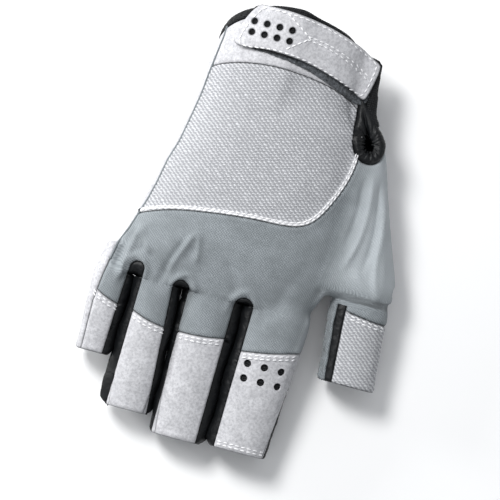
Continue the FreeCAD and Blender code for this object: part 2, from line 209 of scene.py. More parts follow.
# %% Centre lines of the hand and the five stalls
HAND_LINE = middle_line((-50.0, -8.0, 17.0), (80.0, 1.0, 21.0))
stall_lines, stall_ends = {}, {}
for name in STALLS:
    far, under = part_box(f"{name}_cuff"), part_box(f"{name}_palm")
    hinge_x, hinge_y, hinge_z = hinge[name]
    end_y = far[0].y / MM
    end_z = (far[0].z + under[1].z) / 2 / MM
    end_x = (far[0].x + far[1].x) / 2 / MM
    stall_lines[name] = middle_line((hinge_y, hinge_x, hinge_z), (end_y, end_x, end_z))
    stall_ends[name] = end_y
    print(name, "stall runs from y", round(hinge_y, 1), "to", round(end_y, 1), "end z", round(end_z, 1))

# %% [markdown]
# ## One smooth form
#
# Six tubes, one for the hand and one for each stall, are joined by a voxel remesh, which also closes the
# webs between the fingers as stretched cloth would. Smoothing then takes away the voxels' steps. The form
# is the hand that fills the glove. It is never shown, but every panel is cut from its skin.

# %% Tubes, remesh, smoothing
VOXEL = 0.75
RING_STEP = 3.0
SMOOTHING_ROUNDS = 14
CUFF_ROUNDS, CUFF_EASE = 60, (44.0, 12.0)   # more smoothing from this y on, and the length it grows over
HAND_TOP_Y, HAND_LOW_Y = 92.0, -46.0
KNUCKLE_TAPER = 0.12      # the hand's last rings shrink to meet the stalls
TAPER_LENGTH = 18.0
STALL_OVERLAP = 12.0      # stalls start this far inside the hand
STALL_TAPER = 0.30        # narrower there, so that they rise out of it smoothly
STALL_OVERRUN = 4.0       # and run on past their ends, to be cut off later
# (y, x) of the thumb's side of the wrist: the slit is open there, so no ray can measure it
WRIST_SIDE = [(31.0, 47.0), (43.0, 39.6), (52.0, 38.2), (64.0, 38.0), (92.0, 36.0)]

hand_stations = list(np.arange(HAND_TOP_Y, HAND_LOW_Y, -RING_STEP)) + [HAND_LOW_Y]
hand_rows = measured_rings(shell_tree(HAND_SHELL), hand_stations, HAND_LINE)
side_y, side_x = zip(*WRIST_SIDE)
for i, y in enumerate(hand_stations):
    widest = (hand_rows[i] * np.cos(RING_ANGLES)).max()
    room = np.interp(y, side_y, side_x) - HAND_LINE(y)[0]
    if y > side_y[0] and widest > room:
        hand_rows[i] *= 1.0 - (1.0 - room / widest) * np.sqrt(np.clip(np.cos(RING_ANGLES), 0, 1))
    share = min(1.0, max(0.0, (HAND_LOW_Y + TAPER_LENGTH - y) / TAPER_LENGTH))
    hand_rows[i] *= 1.0 - KNUCKLE_TAPER * share * share

form_bm = bmesh.new()
add_tube(form_bm, [ring_points(row, y, HAND_LINE(y)) for row, y in zip(hand_rows, hand_stations)])
stall_rows, stall_stations = {}, {}
for name, line in stall_lines.items():
    hinge_y = hinge[name][1]
    stations = list(np.arange(hinge_y + STALL_OVERLAP, stall_ends[name] - STALL_OVERRUN, -RING_STEP))
    rows = measured_rings(shell_tree([f"{name}_{part}" for part in STALL_SHELL]), stations, line)
    stall_rows[name], stall_stations[name] = rows, stations
    taper = [1.0 - STALL_TAPER * max(0.0, y - hinge_y) / STALL_OVERLAP for y in stations]
    add_tube(form_bm, [ring_points(row * t, y, line(y)) for row, t, y in zip(rows, taper, stations)])
bmesh.ops.recalc_face_normals(form_bm, faces=form_bm.faces)

form_mesh = bpy.data.meshes.new("form")
form_bm.to_mesh(form_mesh)
form_bm.free()
form = bpy.data.objects.new("form", form_mesh)
scene.collection.objects.link(form)
remesh = form.modifiers.new("skin", "REMESH")
remesh.mode = "VOXEL"
remesh.voxel_size = VOXEL
skin = bpy.data.meshes.new_from_object(form.evaluated_get(bpy.context.evaluated_depsgraph_get()))
bpy.data.objects.remove(form)


def smoothed(points, edges, rounds, strength=0.5):
    """Each point moves towards the middle of its neighbours, a few rounds over."""
    count = np.bincount(edges.ravel(), minlength=len(points))[:, None]
    for _ in range(rounds):
        total = np.zeros_like(points)
        for axis in range(3):
            total[:, axis] = (np.bincount(edges[:, 0], points[edges[:, 1], axis], len(points))
                              + np.bincount(edges[:, 1], points[edges[:, 0], axis], len(points)))
        points = points + strength * (total / count - points)
    return points


def read(items, key, width, kind=float):
    """One property of every item of a mesh, as rows."""
    values = np.empty(len(items) * width, kind)
    items.foreach_get(key, values)
    return values.reshape(-1, width)


def move_skin(points):
    """Gives the skin's vertices new places."""
    skin.vertices.foreach_set("co", points.ravel())
    skin.update()


skin_points = read(skin.vertices, "co", 3)
skin_edges = read(skin.edges, "vertices", 2, int)
skin_points = smoothed(skin_points, skin_edges, SMOOTHING_ROUNDS)
eased = smoothed(skin_points, skin_edges, CUFF_ROUNDS)
at_cuff = np.clip((skin_points[:, 1] - CUFF_EASE[0]) / CUFF_EASE[1], 0, 1)[:, None]
skin_points += at_cuff * (eased - skin_points)
move_skin(skin_points)
print("the form's skin has", len(skin.polygons), "faces")

# %% [markdown]
# ## Seam lines
#
# A seam is written as a field: a number for every point in space that is negative on one side of the seam
# and positive on the other. The skin is split wherever the field passes through zero, so a seam can be any
# curve and still gets a clean chain of edges. Lines are given in plan, in millimetres, as a pattern is.

# %% Plan lines of the seams
SIDE_SEAM = [(-82.0, -55.6), (-61.0, -55.7), (-49.6, -54.4), (-34.6, -51.6), (-27.4, -48.6), (-14.4, -44.4),
             (-7.3, -42.6), (4.3, -40.4), (12.4, -37.8), (24.0, -35.6), (34.5, -33.8), (43.1, -33.0),
             (59.2, -31.0), (80.0, -30.0)]   # (y, x) of the seam on the little finger's side
THUMB_SIDE_SEAM_Z, PALM_SEAM_Z = 15.0, 17.0
KNIT_LOW_Z, SLIT_LOW_Z, SIDE_LOW_Z = 14.0, 10.0, 8.5   # how far down the knit, the slit and the side strips reach
KNIT_CORNER = [(34.2, 43.0), (36.6, 28.0), (35.6, 16.0), (31.0, 4.0), (26.5, -4.4), (21.5, -8.8), (14.0, -10.6)]
KNIT_BELLY = [(-0.9, -11.0), (-20.6, -13.4), (-34.4, -16.0), (-45.2, -20.0), (-60.0, -26.0)]
WRIST_SEAM = [(-60.0, 36.0), (-34.3, 45.2), (-29.5, 48.0), (-18.1, 51.0), (-5.3, 52.3), (12.0, 51.2),
              (25.5, 48.2), (31.0, 44.4), (60.0, 26.0)]
# stalls: outer and inner seam x at the cuff seam and at the end, then the cuff seam's y at both sides
STALL_SEAMS = {
    "little": ((-57.0, -44.8), (-57.0, -46.0), (-55.2, -60.2)),
    "ring": ((-38.6, -23.6), (-39.4, -21.6), (-60.9, -64.6)),
    "middle": ((-18.0, 2.2), (-18.0, 1.6), (-64.6, -62.6)),
    "index": ((9.6, 34.4), (8.8, 30.6), (-65.8, -60.6)),
}
CROTCH_TOPS = {("little", "ring"): -40.5, ("ring", "middle"): -43.6, ("middle", "index"): -44.0}


# %% Plan tools
def along(points, line):
    """A plan line given as (y, x) pairs, read at each point's y."""
    line = sorted(line)
    return np.interp(points[:, 1], [y for y, _ in line], [x for _, x in line])


def plan_distance(points, line, closed=False):
    """Distance in plan from each point to a line, and the share of the line at the nearest place."""
    corners = np.array(line + line[:1] if closed else line, float)
    start, step = corners[:-1], np.diff(corners, axis=0)
    lengths = np.hypot(step[:, 0], step[:, 1])
    begun = np.concatenate([[0], np.cumsum(lengths)])
    best = np.full(len(points), 1e9)
    share = np.zeros(len(points))
    for k in range(len(step)):
        rel = points[:, :2] - start[k]
        t = np.clip(rel @ step[k] / lengths[k] ** 2, 0, 1)
        d = np.hypot(rel[:, 0] - t * step[k, 0], rel[:, 1] - t * step[k, 1])
        nearer = d < best
        best[nearer] = d[nearer]
        share[nearer] = ((begun[k] + t * lengths[k]) / begun[-1])[nearer]
    return best, share


def inside(points, outline):
    """True for each point within the closed plan outline."""
    x, y = points[:, 0], points[:, 1]
    found = np.zeros(len(points), bool)
    for (x0, y0), (x1, y1) in zip(outline, outline[1:] + outline[:1]):
        if y0 == y1:
            continue
        crosses = (y0 > y) != (y1 > y)
        found ^= crosses & (x < (x1 - x0) * (y - y0) / (y1 - y0) + x0)
    return found


def rounded(line, rounds=3, closed=False):
    """Chaikin's corner cutting: a smooth line from a few corners."""
    for _ in range(rounds):
        pairs = list(zip(line, line[1:] + line[:1])) if closed else list(zip(line, line[1:]))
        cut = []
        for (x0, y0), (x1, y1) in pairs:
            cut += [(0.75 * x0 + 0.25 * x1, 0.75 * y0 + 0.25 * y1), (0.25 * x0 + 0.75 * x1, 0.25 * y0 + 0.75 * y1)]
        line = cut if closed else [line[0]] + cut + [line[-1]]
    return line


def outline_field(points, outline):
    """Signed plan distance to a closed outline: negative inside."""
    distance, _ = plan_distance(points, outline, closed=True)
    return np.where(inside(points, outline), -distance, distance)


def seam_side(points, name):
    """Plan x of a stall's outer and inner seams at each point's y."""
    at_seam, at_end, seam_y = STALL_SEAMS[name]
    y = [stall_ends[name], sum(seam_y) / 2]
    slope = [(a - b) / (y[1] - y[0]) for a, b in zip(at_seam, at_end)]
    return [b + k * (points[:, 1] - y[0]) for b, k in zip(at_end, slope)]


# %% Fields
CUFF_SLOPE = 0.66
CUFF_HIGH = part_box("cuff_binding")[1]
CUFF_TOP = CUFF_HIGH.y / MM + 0.1, CUFF_HIGH.z / MM - 0.6
BINDING_WIDTH = 4.2
knit_outline = rounded([(-60.0, 60.0), (27.4, 60.0)] + KNIT_CORNER + KNIT_BELLY)
wrist_x, wrist_y = zip(*rounded(WRIST_SEAM))
BOW = 0.6                 # how far a stall's cuff seam bows, in mm


def cuff_field(points, inset=0.0):
    """Positive beyond the cuff's slanting edge."""
    return points[:, 1] - (CUFF_TOP[0] - inset) + CUFF_SLOPE * (CUFF_TOP[1] - points[:, 2])


def back_field(points):
    """Negative on the back of the glove, positive on the palm."""
    rise = np.clip((points[:, 0] - 20.0) / 20.0, 0, 1)
    low = PALM_SEAM_Z + (THUMB_SIDE_SEAM_Z - PALM_SEAM_Z) * rise
    return np.maximum(along(points, SIDE_SEAM) - points[:, 0], low - points[:, 2])


def knit_field(points):
    """Negative on the knit panel."""
    return np.maximum(outline_field(points, knit_outline), KNIT_LOW_Z - points[:, 2])


def wrist_field(points):
    """Positive on the wrist's side of the knit panel's upper seam."""
    return points[:, 1] - np.interp(points[:, 0], wrist_x, wrist_y)


def gap_middle(points, outer, inner):
    """Plan x half-way between two stalls."""
    return (seam_side(points, outer)[1] + seam_side(points, inner)[0]) / 2


def gap_field(points, outer, inner):
    """Negative in the lane between two stalls, which has a round end in plan."""
    low, high = seam_side(points, outer)[1], seam_side(points, inner)[0]
    half = np.maximum((high - low) / 2, 0.8)
    top = CROTCH_TOPS[(outer, inner)]
    beyond = np.maximum(points[:, 1] - (top - half), 0)
    return np.hypot(points[:, 0] - (low + high) / 2, beyond) - half


def cuff_seam_field(points, name):
    """Negative beyond a stall's cuff seam, towards the finger's end."""
    at_seam, _, seam_y = STALL_SEAMS[name]
    share = np.clip((points[:, 0] - at_seam[0]) / (at_seam[1] - at_seam[0]), 0, 1)
    return points[:, 1] - (seam_y[0] + (seam_y[1] - seam_y[0]) * share) + BOW * np.sin(np.pi * share)


print("knit panel's outline has", len(knit_outline), "points")

# %% [markdown]
# ## Folds
#
# Cloth that is pulled round a knuckle or a crotch stands up in ridges. Each fold is a plan line with a width
# and a height. It is raised on the whole skin before the panels are cut, so a fold that crosses a seam
# crosses it in both panels. A faint noise on top keeps the cloth from looking poured.

# %% Raise the folds
FOLDS = [  # plan line, half width, height in mm (negative is a hollow)
    ([(-48.6, -52.0), (-46.6, -40.0), (-43.2, -24.5)], 1.4, 1.35),
    ([(-43.2, -24.5), (-41.0, -32.0), (-36.5, -36.6)], 1.2, 1.25),
    ([(-45.4, -30.0), (-43.0, -36.0), (-40.5, -33.5), (-42.6, -27.5)], 1.4, -0.94),
    ([(-50.8, -46.0), (-49.2, -36.0), (-46.2, -26.0)], 1.5, -1.08),
    ([(-28.4, -42.0), (-25.4, -32.0), (-20.0, -21.5)], 1.3, 1.35),
    ([(-20.0, -21.5), (-18.2, -28.0), (-17.4, -36.0)], 1.2, 0.95),
    ([(-31.4, -50.0), (-29.0, -38.0), (-23.6, -25.0)], 1.7, -1.08),
    ([(-22.6, -36.0), (-20.4, -28.0)], 1.5, -0.68),
    ([(-47.6, -50.0), (-46.9, -42.0), (-42.0, -36.6), (-37.4, -41.5), (-36.4, -49.0)], 1.2, 0.94),
    ([(-26.4, -52.0), (-25.4, -45.0), (-20.4, -39.4), (-15.2, -44.0), (-14.8, -52.0)], 1.2, 0.94),
    ([(-0.6, -54.0), (-0.4, -46.0), (6.2, -39.6), (13.0, -46.0), (12.6, -54.0)], 1.3, 0.81),
    ([(43.8, 22.0), (46.4, 6.0), (46.0, -8.0), (41.6, -24.0)], 1.5, 1.22),
    ([(47.6, 22.0), (50.8, 4.0), (51.6, -8.0), (50.2, -22.0)], 1.3, -1.08),
    ([(50.6, 16.0), (54.4, -4.0), (55.2, -20.0), (60.0, -32.0)], 1.5, 1.08),
    ([(41.0, 18.0), (42.6, 2.0), (40.4, -14.0)], 1.4, -0.94),
    ([(46.4, -20.0), (52.0, -27.0), (62.0, -31.5)], 1.4, 0.81),
    ([(33.6, -52.0), (35.0, -40.0), (38.0, -30.0)], 1.4, 0.68),
    ([(-6.0, -30.0), (0.0, -38.0), (2.0, -46.0)], 2.4, -0.54),
    ([(24.0, -30.0), (20.0, -40.0), (19.0, -50.0)], 2.6, -0.47),
]
NOISE_FINE, NOISE_BROAD = (0.16, 0.10), (0.06, 0.28)   # (per mm, height in mm)


def nearest_tree(points):
    """A search tree that finds the nearest point's number and distance."""
    tree = KDTree(len(points))
    for i, point in enumerate(points):
        tree.insert(point, i)
    tree.balance()
    return tree


skin_normals = read(skin.vertex_normals, "vector", 3)
lift = np.zeros(len(skin_points))
for line, width, height in FOLDS:
    distance, share = plan_distance(skin_points, rounded(line))
    fade = np.clip(np.minimum(share, 1 - share) * 5, 0, 1)
    lift += height * fade * np.exp(-(distance / width) ** 2) * np.clip(skin_normals[:, 2] * 2, 0, 1)
for per_mm, height in (NOISE_FINE, NOISE_BROAD):
    lift += height * np.array([noise.noise(Vector(p) * per_mm) for p in skin_points])
unfolded = skin_points.copy()
skin_points += skin_normals * lift[:, None]
move_skin(skin_points)
fold_tree = nearest_tree(skin_points)
print("folds rise", round(lift.max(), 2), "mm and sink", round(-lift.min(), 2), "mm")


def before_folds(points):
    """Where points of the folded skin lay before, so that a weave doesn't slide over the folds."""
    nearest = np.array([fold_tree.find(p)[1] for p in points])
    return points + unfolded[nearest] - skin_points[nearest]

# %% [markdown]
# ## Cutting the skin
#
# A vertex that lies close to a seam is first moved onto it, so that no sliver is left. Every edge that
# still crosses the seam is split at the crossing, and the new vertices are joined across their faces.

# %% The cutting tool
SNAP = 0.3                # share of an edge within which its end is moved onto the seam


def split_along(bm, field):
    """Cuts the faces that the field's zero line crosses."""
    bm.verts.index_update()
    value = list(field(np.array([v.co for v in bm.verts])))
    for edge in bm.edges:
        a, b = edge.verts
        if value[a.index] * value[b.index] < 0:
            share = value[a.index] / (value[a.index] - value[b.index])
            for vert, other, t in ((a, b, share), (b, a, 1 - share)):
                if t < SNAP and not vert.tag:
                    vert.co = vert.co.lerp(other.co, t)
                    value[vert.index] = 0.0
                    vert.tag = True
    on_line = [v for v in bm.verts if value[v.index] == 0.0]
    crossing = [e for e in bm.edges if value[e.verts[0].index] * value[e.verts[1].index] < 0]
    for edge in crossing:
        a, b = edge.verts
        share = value[a.index] / (value[a.index] - value[b.index])
        on_line.append(bmesh.utils.edge_split(edge, a, share)[1])
    bmesh.ops.connect_verts(bm, verts=on_line)
    for vert in on_line:
        vert.tag = True


def keep_where(piece, field):
    """Deletes the faces whose middle has a positive field."""
    outside = field(np.array([f.calc_center_median() for f in piece.faces])) > 0
    bmesh.ops.delete(piece, geom=[f for f, drop in zip(piece.faces, outside) if drop], context="FACES")


# %% Fields of the thumb and the slit
THUMB_CUT_X = 39.5
THUMB_EDGE_Y = stall_ends["thumb"] + 0.6
THUMB_BLACK, THUMB_PUCKER, THUMB_BACK = (120.0, 141.0), 205.0, 340.0   # degrees round the thumb, 90 is its top
THUMB_CUFF_SEAM = [(38.0, -34.6), (42.6, -36.6), (50.0, -38.6), (60.0, -40.0), (72.0, -40.6)]
thumb_seam_x, thumb_seam_y = zip(*THUMB_CUFF_SEAM)
KEYHOLE = rounded([(30.0, 51.0), (35.6, 46.6), (38.6, 42.4), (42.6, 38.0), (46.6, 33.0), (46.4, 26.6),
                   (41.8, 22.8), (36.0, 24.0), (32.6, 29.0), (31.6, 36.0), (31.2, 43.0)], closed=True)
KEYHOLE_TAPE = 4.7        # width of the tape round the slit


def split_plane(y):
    """Zero on a plane across the hand."""
    return lambda points: points[:, 1] - y


def angle_about(points, line):
    """Degrees round a centre line, 0 towards the thumb's side and 90 on top."""
    centre = np.array([line(y) for y in points[:, 1]])
    return np.degrees(np.arctan2(points[:, 2] - centre[:, 1], points[:, 0] - centre[:, 0])) % 360.0


def only_when(field, condition):
    """The field where the condition's own field is negative, and far from zero elsewhere."""
    return lambda points: np.where(condition(points) < 0, field(points), 50.0)


def in_thumb(points):
    """Negative in the thumb's stall."""
    return np.maximum(THUMB_CUT_X - points[:, 0], points[:, 1] - hinge["thumb"][1] - 1.0)


def thumb_cuff_field(points):
    """Negative beyond the thumb's cuff seam."""
    return points[:, 1] - np.interp(points[:, 0], thumb_seam_x, thumb_seam_y)


def thumb_angle_field(angle):
    """Zero along the thumb's stall at an angle round it."""
    return lambda points: angle_about(points, stall_lines["thumb"]) - angle


def keyhole_field(points, inset=0.0):
    """Negative in the slit and on its tape, or within an inset from the tape's outer edge."""
    return np.maximum(outline_field(points, KEYHOLE) + inset, SLIT_LOW_Z - points[:, 2])


def index_inner(points):
    """Positive on the index finger's side that faces the thumb."""
    return points[:, 0] - seam_side(points, "index")[1]


# %% Cut the skin along every seam
EDGE_IN = 0.6             # a stall is cut off this far inside its CAD end
BESIDE = 4.0              # how far beside its seams a stall's end cut reaches
LITTLE_SIDE_X = -52.0     # the little finger's outer side lies beyond this
fields = [
    cuff_field,
    lambda p: cuff_field(p, BINDING_WIDTH),
    back_field,
    only_when(wrist_field, back_field),
    only_when(knit_field, back_field),
    keyhole_field,
    lambda p: keyhole_field(p, KEYHOLE_TAPE),
    lambda p: np.minimum.reduce([gap_field(p, *pair) for pair in GAPS]),
    only_when(split_plane(hinge["index"][1]), lambda p: p[:, 0] - THUMB_CUT_X),
    only_when(split_plane(hinge["thumb"][1]), lambda p: THUMB_CUT_X - p[:, 0]),
]
for name in FINGERS:
    fields.append(only_when(lambda p, n=name: cuff_seam_field(p, n), lambda p, n=name: np.maximum.reduce([
        seam_side(p, n)[0] - p[:, 0], p[:, 0] - seam_side(p, n)[1], p[:, 1] - hinge[n][1] + 2.0])))
    fields.append(only_when(split_plane(stall_ends[name] + EDGE_IN), lambda p, n=name: np.maximum.reduce([
        seam_side(p, n)[0] - BESIDE - p[:, 0], p[:, 0] - seam_side(p, n)[1] - BESIDE, p[:, 1] - hinge[n][1]])))
fields.append(only_when(thumb_cuff_field, lambda p: np.where(p[:, 2] > 5.0, in_thumb(p) - BESIDE, 90.0)))
fields.append(only_when(split_plane(THUMB_EDGE_Y), in_thumb))
for angle in (*THUMB_BLACK, THUMB_PUCKER):
    fields.append(only_when(thumb_angle_field(angle), in_thumb))
for outer, inner in GAPS:
    fields.append(only_when(
        lambda p, o=outer, i=inner: p[:, 0] - gap_middle(p, o, i),
        lambda p, o=outer, i=inner: np.maximum(gap_field(p, o, i), p[:, 1] - hinge["index"][1])))
fields.append(only_when(lambda p: SIDE_LOW_Z - p[:, 2],
                        lambda p: np.maximum(p[:, 0] - LITTLE_SIDE_X, p[:, 1] - hinge["little"][1])))
fields.append(only_when(index_inner, lambda p: np.maximum.reduce(
    [20.0 - p[:, 0], p[:, 0] - THUMB_CUT_X, p[:, 1] - hinge["index"][1], SIDE_LOW_Z - p[:, 2]])))

bm = bmesh.new()
bm.from_mesh(skin)
bm.normal_update()
for field in fields:
    split_along(bm, field)
print("the cut skin has", len(bm.faces), "faces")

# %% [markdown]
# ## Sorting the faces into panels
#
# The cuts followed the fields, so the middle of a face says which panel it belongs to.

# %% Panel names
def panel_names(points):
    """The panel's name for each face centre, or an empty name where the glove is open."""
    x, y, z = points.T
    back = back_field(points) < 0
    name = np.where(back, "knuckle_stretch", "palm_suede").astype(object)
    name[back & (knit_field(points) < 0)] = "knit_back"
    name[back & (wrist_field(points) > 0)] = "wrist_suede"
    fingers = (x <= THUMB_CUT_X) & (y < hinge["index"][1])
    for k, finger in enumerate(FINGERS):
        mine = fingers.copy()
        lanes = []
        if k:
            mine &= gap_middle(points, FINGERS[k - 1], finger) < x
            lanes.append(("outer_side", gap_field(points, FINGERS[k - 1], finger) < 0))
        else:
            lanes.append(("outer_side", ~back & (z > SIDE_LOW_Z) & (x < LITTLE_SIDE_X)))
        if finger != FINGERS[-1]:
            mine &= gap_middle(points, finger, FINGERS[k + 1]) >= x
            lanes.append(("inner_side", gap_field(points, finger, FINGERS[k + 1]) < 0))
        else:
            lanes.append(("inner_side", (index_inner(points) > 0) & (z > SIDE_LOW_Z)))
        name[mine] = f"{finger}_palm"
        name[mine & back] = f"{finger}_back"
        name[mine & back & (cuff_seam_field(points, finger) < 0)] = f"{finger}_cuff"
        for part, lane in lanes:
            name[mine & lane] = f"{finger}_{part}"
        name[mine & (y < stall_ends[finger] + EDGE_IN)] = ""
    before_knuckle = (y >= hinge["index"][1]) & (x < THUMB_CUT_X)
    for outer, inner in GAPS:
        name[before_knuckle & (gap_field(points, outer, inner) < 0)] = f"{outer}_{inner}_web"
    thumb = (x > THUMB_CUT_X) & (y < hinge["thumb"][1])
    angle = angle_about(points, stall_lines["thumb"])
    on_top = thumb & ((angle < THUMB_BLACK[0]) | (angle > THUMB_BACK))
    name[thumb] = "thumb_palm"
    name[on_top] = "thumb_back"
    name[on_top & (thumb_cuff_field(points) < 0)] = "thumb_cuff"
    name[thumb & (angle > THUMB_BLACK[0]) & (angle < THUMB_BLACK[1])] = "thumb_black_side"
    name[thumb & (angle > THUMB_BLACK[1]) & (angle < THUMB_PUCKER)] = "thumb_gathered_side"
    name[thumb & (y < THUMB_EDGE_Y)] = ""
    name[keyhole_field(points) < 0] = "keyhole_tape"
    name[keyhole_field(points, KEYHOLE_TAPE) < 0] = ""
    name[cuff_field(points, BINDING_WIDTH) > 0] = "cuff_edge_tape"
    name[cuff_field(points) > 0] = ""
    return name


# %% Sort the faces
bm.normal_update()
face_names = panel_names(np.array([f.calc_center_median() for f in bm.faces])).astype(str)
panel_list, panel_number, panel_sizes = np.unique(face_names, return_inverse=True, return_counts=True)
panel_list = list(panel_list)
panel_layer = bm.faces.layers.int.new("panel")
for face, number in zip(bm.faces, panel_number):
    face[panel_layer] = int(number)
for panel, size in zip(panel_list, panel_sizes):
    print(f"{panel or 'open':24}", size, "faces")


def kept(mesh, panels):
    """A bmesh of the named panels' faces only."""
    piece = bmesh.new()
    piece.from_mesh(mesh)
    layer = piece.faces.layers.int["panel"]
    wanted = {panel_list.index(panel) for panel in panels}
    bmesh.ops.delete(piece, geom=[f for f in piece.faces if f[layer] not in wanted], context="FACES")
    return piece


def region_of(panel):
    """The stall that a panel belongs to, or the hand."""
    first = panel.split("_")[0]
    return first if first in stall_lines and not panel.endswith("_web") else "hand"


cut_skin = bpy.data.meshes.new("cut_skin")
bm.to_mesh(cut_skin)
region_meshes = {}
for region in ["hand"] + list(stall_lines):
    region_meshes[region] = bpy.data.meshes.new(f"{region}_skin")
    part = kept(cut_skin, [panel for panel in panel_list if panel and region_of(panel) == region])
    part.to_mesh(region_meshes[region])
    part.free()

# %% [markdown]
# ## Finishing a panel
#
# At a seam two edges are turned inwards together, so each panel dips along its border and stands up a
# little just inside it. How far a vertex is from the nearest border drives both, and it is kept as an
# attribute, because the materials paint shade into the seam from it. Where a finger's panel meets the
# hand's at the knuckle there is no seam, so that border stays level.

# %% Measures on a panel
ROLL_DEPTH, ROLL_WIDTH = 0.6, 0.9
RIDGE_HEIGHT, RIDGE_AT, RIDGE_WIDTH = 0.22, 1.7, 0.8
CLOTH_THICKNESS = 1.0
NO_SEAM = 9.0             # the border distance, in mm, on a piece that has no border
hand_table = (hand_rows, hand_stations, HAND_LINE)
stall_tables = {name: (stall_rows[name], stall_stations[name], stall_lines[name]) for name in stall_lines}
pieces = {}


def arc_length(points, table, from_below=False):
    """Millimetres round the form from its top line, or from its bottom line, for each point."""
    rows, stations, line = table
    rows, stations = rows[::-1], np.array(stations[::-1])
    ring = rows[:, :, None] * np.stack([np.cos(RING_ANGLES), np.sin(RING_ANGLES)], axis=1)[None]
    start = RING_POINTS * 3 // 4 if from_below else RING_POINTS // 4
    ring = np.roll(ring, -start, axis=1)
    steps = np.linalg.norm(np.roll(ring, -1, axis=1) - ring, axis=2)
    length = np.concatenate([np.zeros((len(rows), 1)), np.cumsum(steps, axis=1)], axis=1)
    centre = np.array([line(y) for y in points[:, 1]])
    turn = np.arctan2(points[:, 2] - centre[:, 1], points[:, 0] - centre[:, 0]) / (2 * math.pi) * RING_POINTS
    turn = (turn - start) % RING_POINTS
    column = np.minimum(turn.astype(int), RING_POINTS - 1)
    share = turn - column
    place = np.clip(np.interp(points[:, 1], stations, np.arange(len(stations))), 0, len(stations) - 1.001)
    row = place.astype(int)
    between = place - row

    def at(r):
        return length[r, column] * (1 - share) + length[r, column + 1] * share

    found = at(row) * (1 - between) + at(row + 1) * between
    whole = length[row, -1] * (1 - between) + length[row + 1, -1] * between
    return np.where(turn > RING_POINTS / 2, found - whole, found)


def on_hinge(vert):
    """True where a finger's panel goes on as the hand's, with no seam."""
    level = hinge["thumb"][1] if vert.co.x > THUMB_CUT_X else hinge["index"][1]
    return abs(vert.co.y - level) < 0.02


def border_distance(piece, holes=None):
    """Each vertex's distance from the panel's own seams and edges, in millimetres. Vent holes don't count."""
    seams = [v for v in piece.verts if v.is_boundary and not on_hinge(v)]
    if holes and seams:
        clear = holes(np.array([v.co for v in seams])) > 0.15
        seams = [v for v, keep in zip(seams, clear) if keep]
    tree = nearest_tree([v.co for v in seams])
    return np.array([tree.find(v.co)[2] if seams else NO_SEAM for v in piece.verts])


def coordinates(piece):
    """The places of a piece's vertices, one row each."""
    return np.array([v.co for v in piece.verts])


def normals(piece):
    """The piece's own normals, one row for each vertex."""
    piece.normal_update()
    return np.array([v.normal for v in piece.verts])


def place_at(piece, points):
    """Moves the piece's vertices to new places."""
    for vert, point in zip(piece.verts, points):
        vert.co = point


def taken(panel):
    """A copy of the named panel's faces as a mesh of its own."""
    return kept(region_meshes[region_of(panel)], [panel])


# %% Sewing and making
skin_tree = nearest_tree([v.co for v in bm.verts])
skin_out = [v.normal.copy() for v in bm.verts]


def skin_normals_at(points):
    """The whole skin's normals, so that neighbouring panels agree at their shared border."""
    return np.array([skin_out[skin_tree.find(p)[1]] for p in points])


def sewn(piece, roll=ROLL_DEPTH, ridge=RIDGE_HEIGHT):
    """Dips the border into its seam. Returns the border distance."""
    points, out = coordinates(piece), skin_normals_at(coordinates(piece))
    edge = border_distance(piece)
    uneven = np.array([0.75 + 0.6 * noise.noise(Vector(p) * 0.35) for p in points])
    height = -roll * np.clip(1 - edge / ROLL_WIDTH, 0, 1) ** 2
    height += ridge * uneven * np.exp(-((edge - RIDGE_AT) / RIDGE_WIDTH) ** 2)
    place_at(piece, points + out * height[:, None])
    return edge


def follows(obj, body):
    """Hangs a piece of the hand on the hand's body; any other piece only gets its place baked into its mesh."""
    if body == "hand":
        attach(obj, "hand")
    elif body == "strap":
        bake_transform(obj)
    else:
        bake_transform(obj)


def made(piece, name, material, node_names, body="hand", below=False, edge=None, thickness=CLOTH_THICKNESS,
         inner=None, pale_and_highlight=None, table=None):
    """Turns a finished bmesh, in millimetres, into the glove's piece of that name."""
    points = coordinates(piece)
    if edge is None:
        edge = border_distance(piece)
    for face in piece.faces:
        face.smooth = True
    for e in piece.edges:
        if e.is_boundary and all(on_hinge(v) for v in e.verts):
            e.smooth = False
    bmesh.ops.scale(piece, vec=(MM, MM, MM), verts=piece.verts)
    mesh = bpy.data.meshes.new(name)
    piece.to_mesh(mesh)
    piece.free()
    across = arc_length(before_folds(points), table or stall_tables.get(body, hand_table), below)
    corner = read(mesh.loops, "vertex_index", 1, int)[:, 0]
    flat = np.stack([across, points[:, 1]], axis=1)
    mesh.uv_layers.new(name="cloth").data.foreach_set("uv", flat[corner].ravel())
    mesh.attributes.new("edge", "FLOAT", "POINT").data.foreach_set("value", edge.astype(np.float32))
    # An attribute from 0 to 1 that the material uses to paint the cloth paler: painted highlights on folds and
    # hems, and paler sides.
    shade = np.zeros(len(points)) if pale_and_highlight is None else pale_and_highlight(points)
    mesh.attributes.new("pale_and_highlight", "FLOAT", "POINT").data.foreach_set("value", shade.astype(np.float32))
    mesh.materials.append(material)
    obj = bpy.data.objects.new(name, mesh)
    scene.collection.objects.link(obj)
    if thickness:
        mesh.materials.append(inner or material)
        shell = obj.modifiers.new("thickness", "SOLIDIFY")
        shell.thickness = thickness * MM
        shell.offset = -1.0
        shell.material_offset = 1
    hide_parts(*node_names)
    follows(obj, body)
    pieces[name] = obj
    print(name, len(mesh.polygons), "faces")
    return obj


# %% Round vents
VENT_ROOM = 1.2           # the cloth is made finer this far round a vent, in mm


def hole_field(centres, radius):
    """Negative inside any of the round vents."""
    return lambda points: np.minimum.reduce(
        [np.hypot(points[:, 0] - x, points[:, 1] - y) for x, y in centres]) - radius


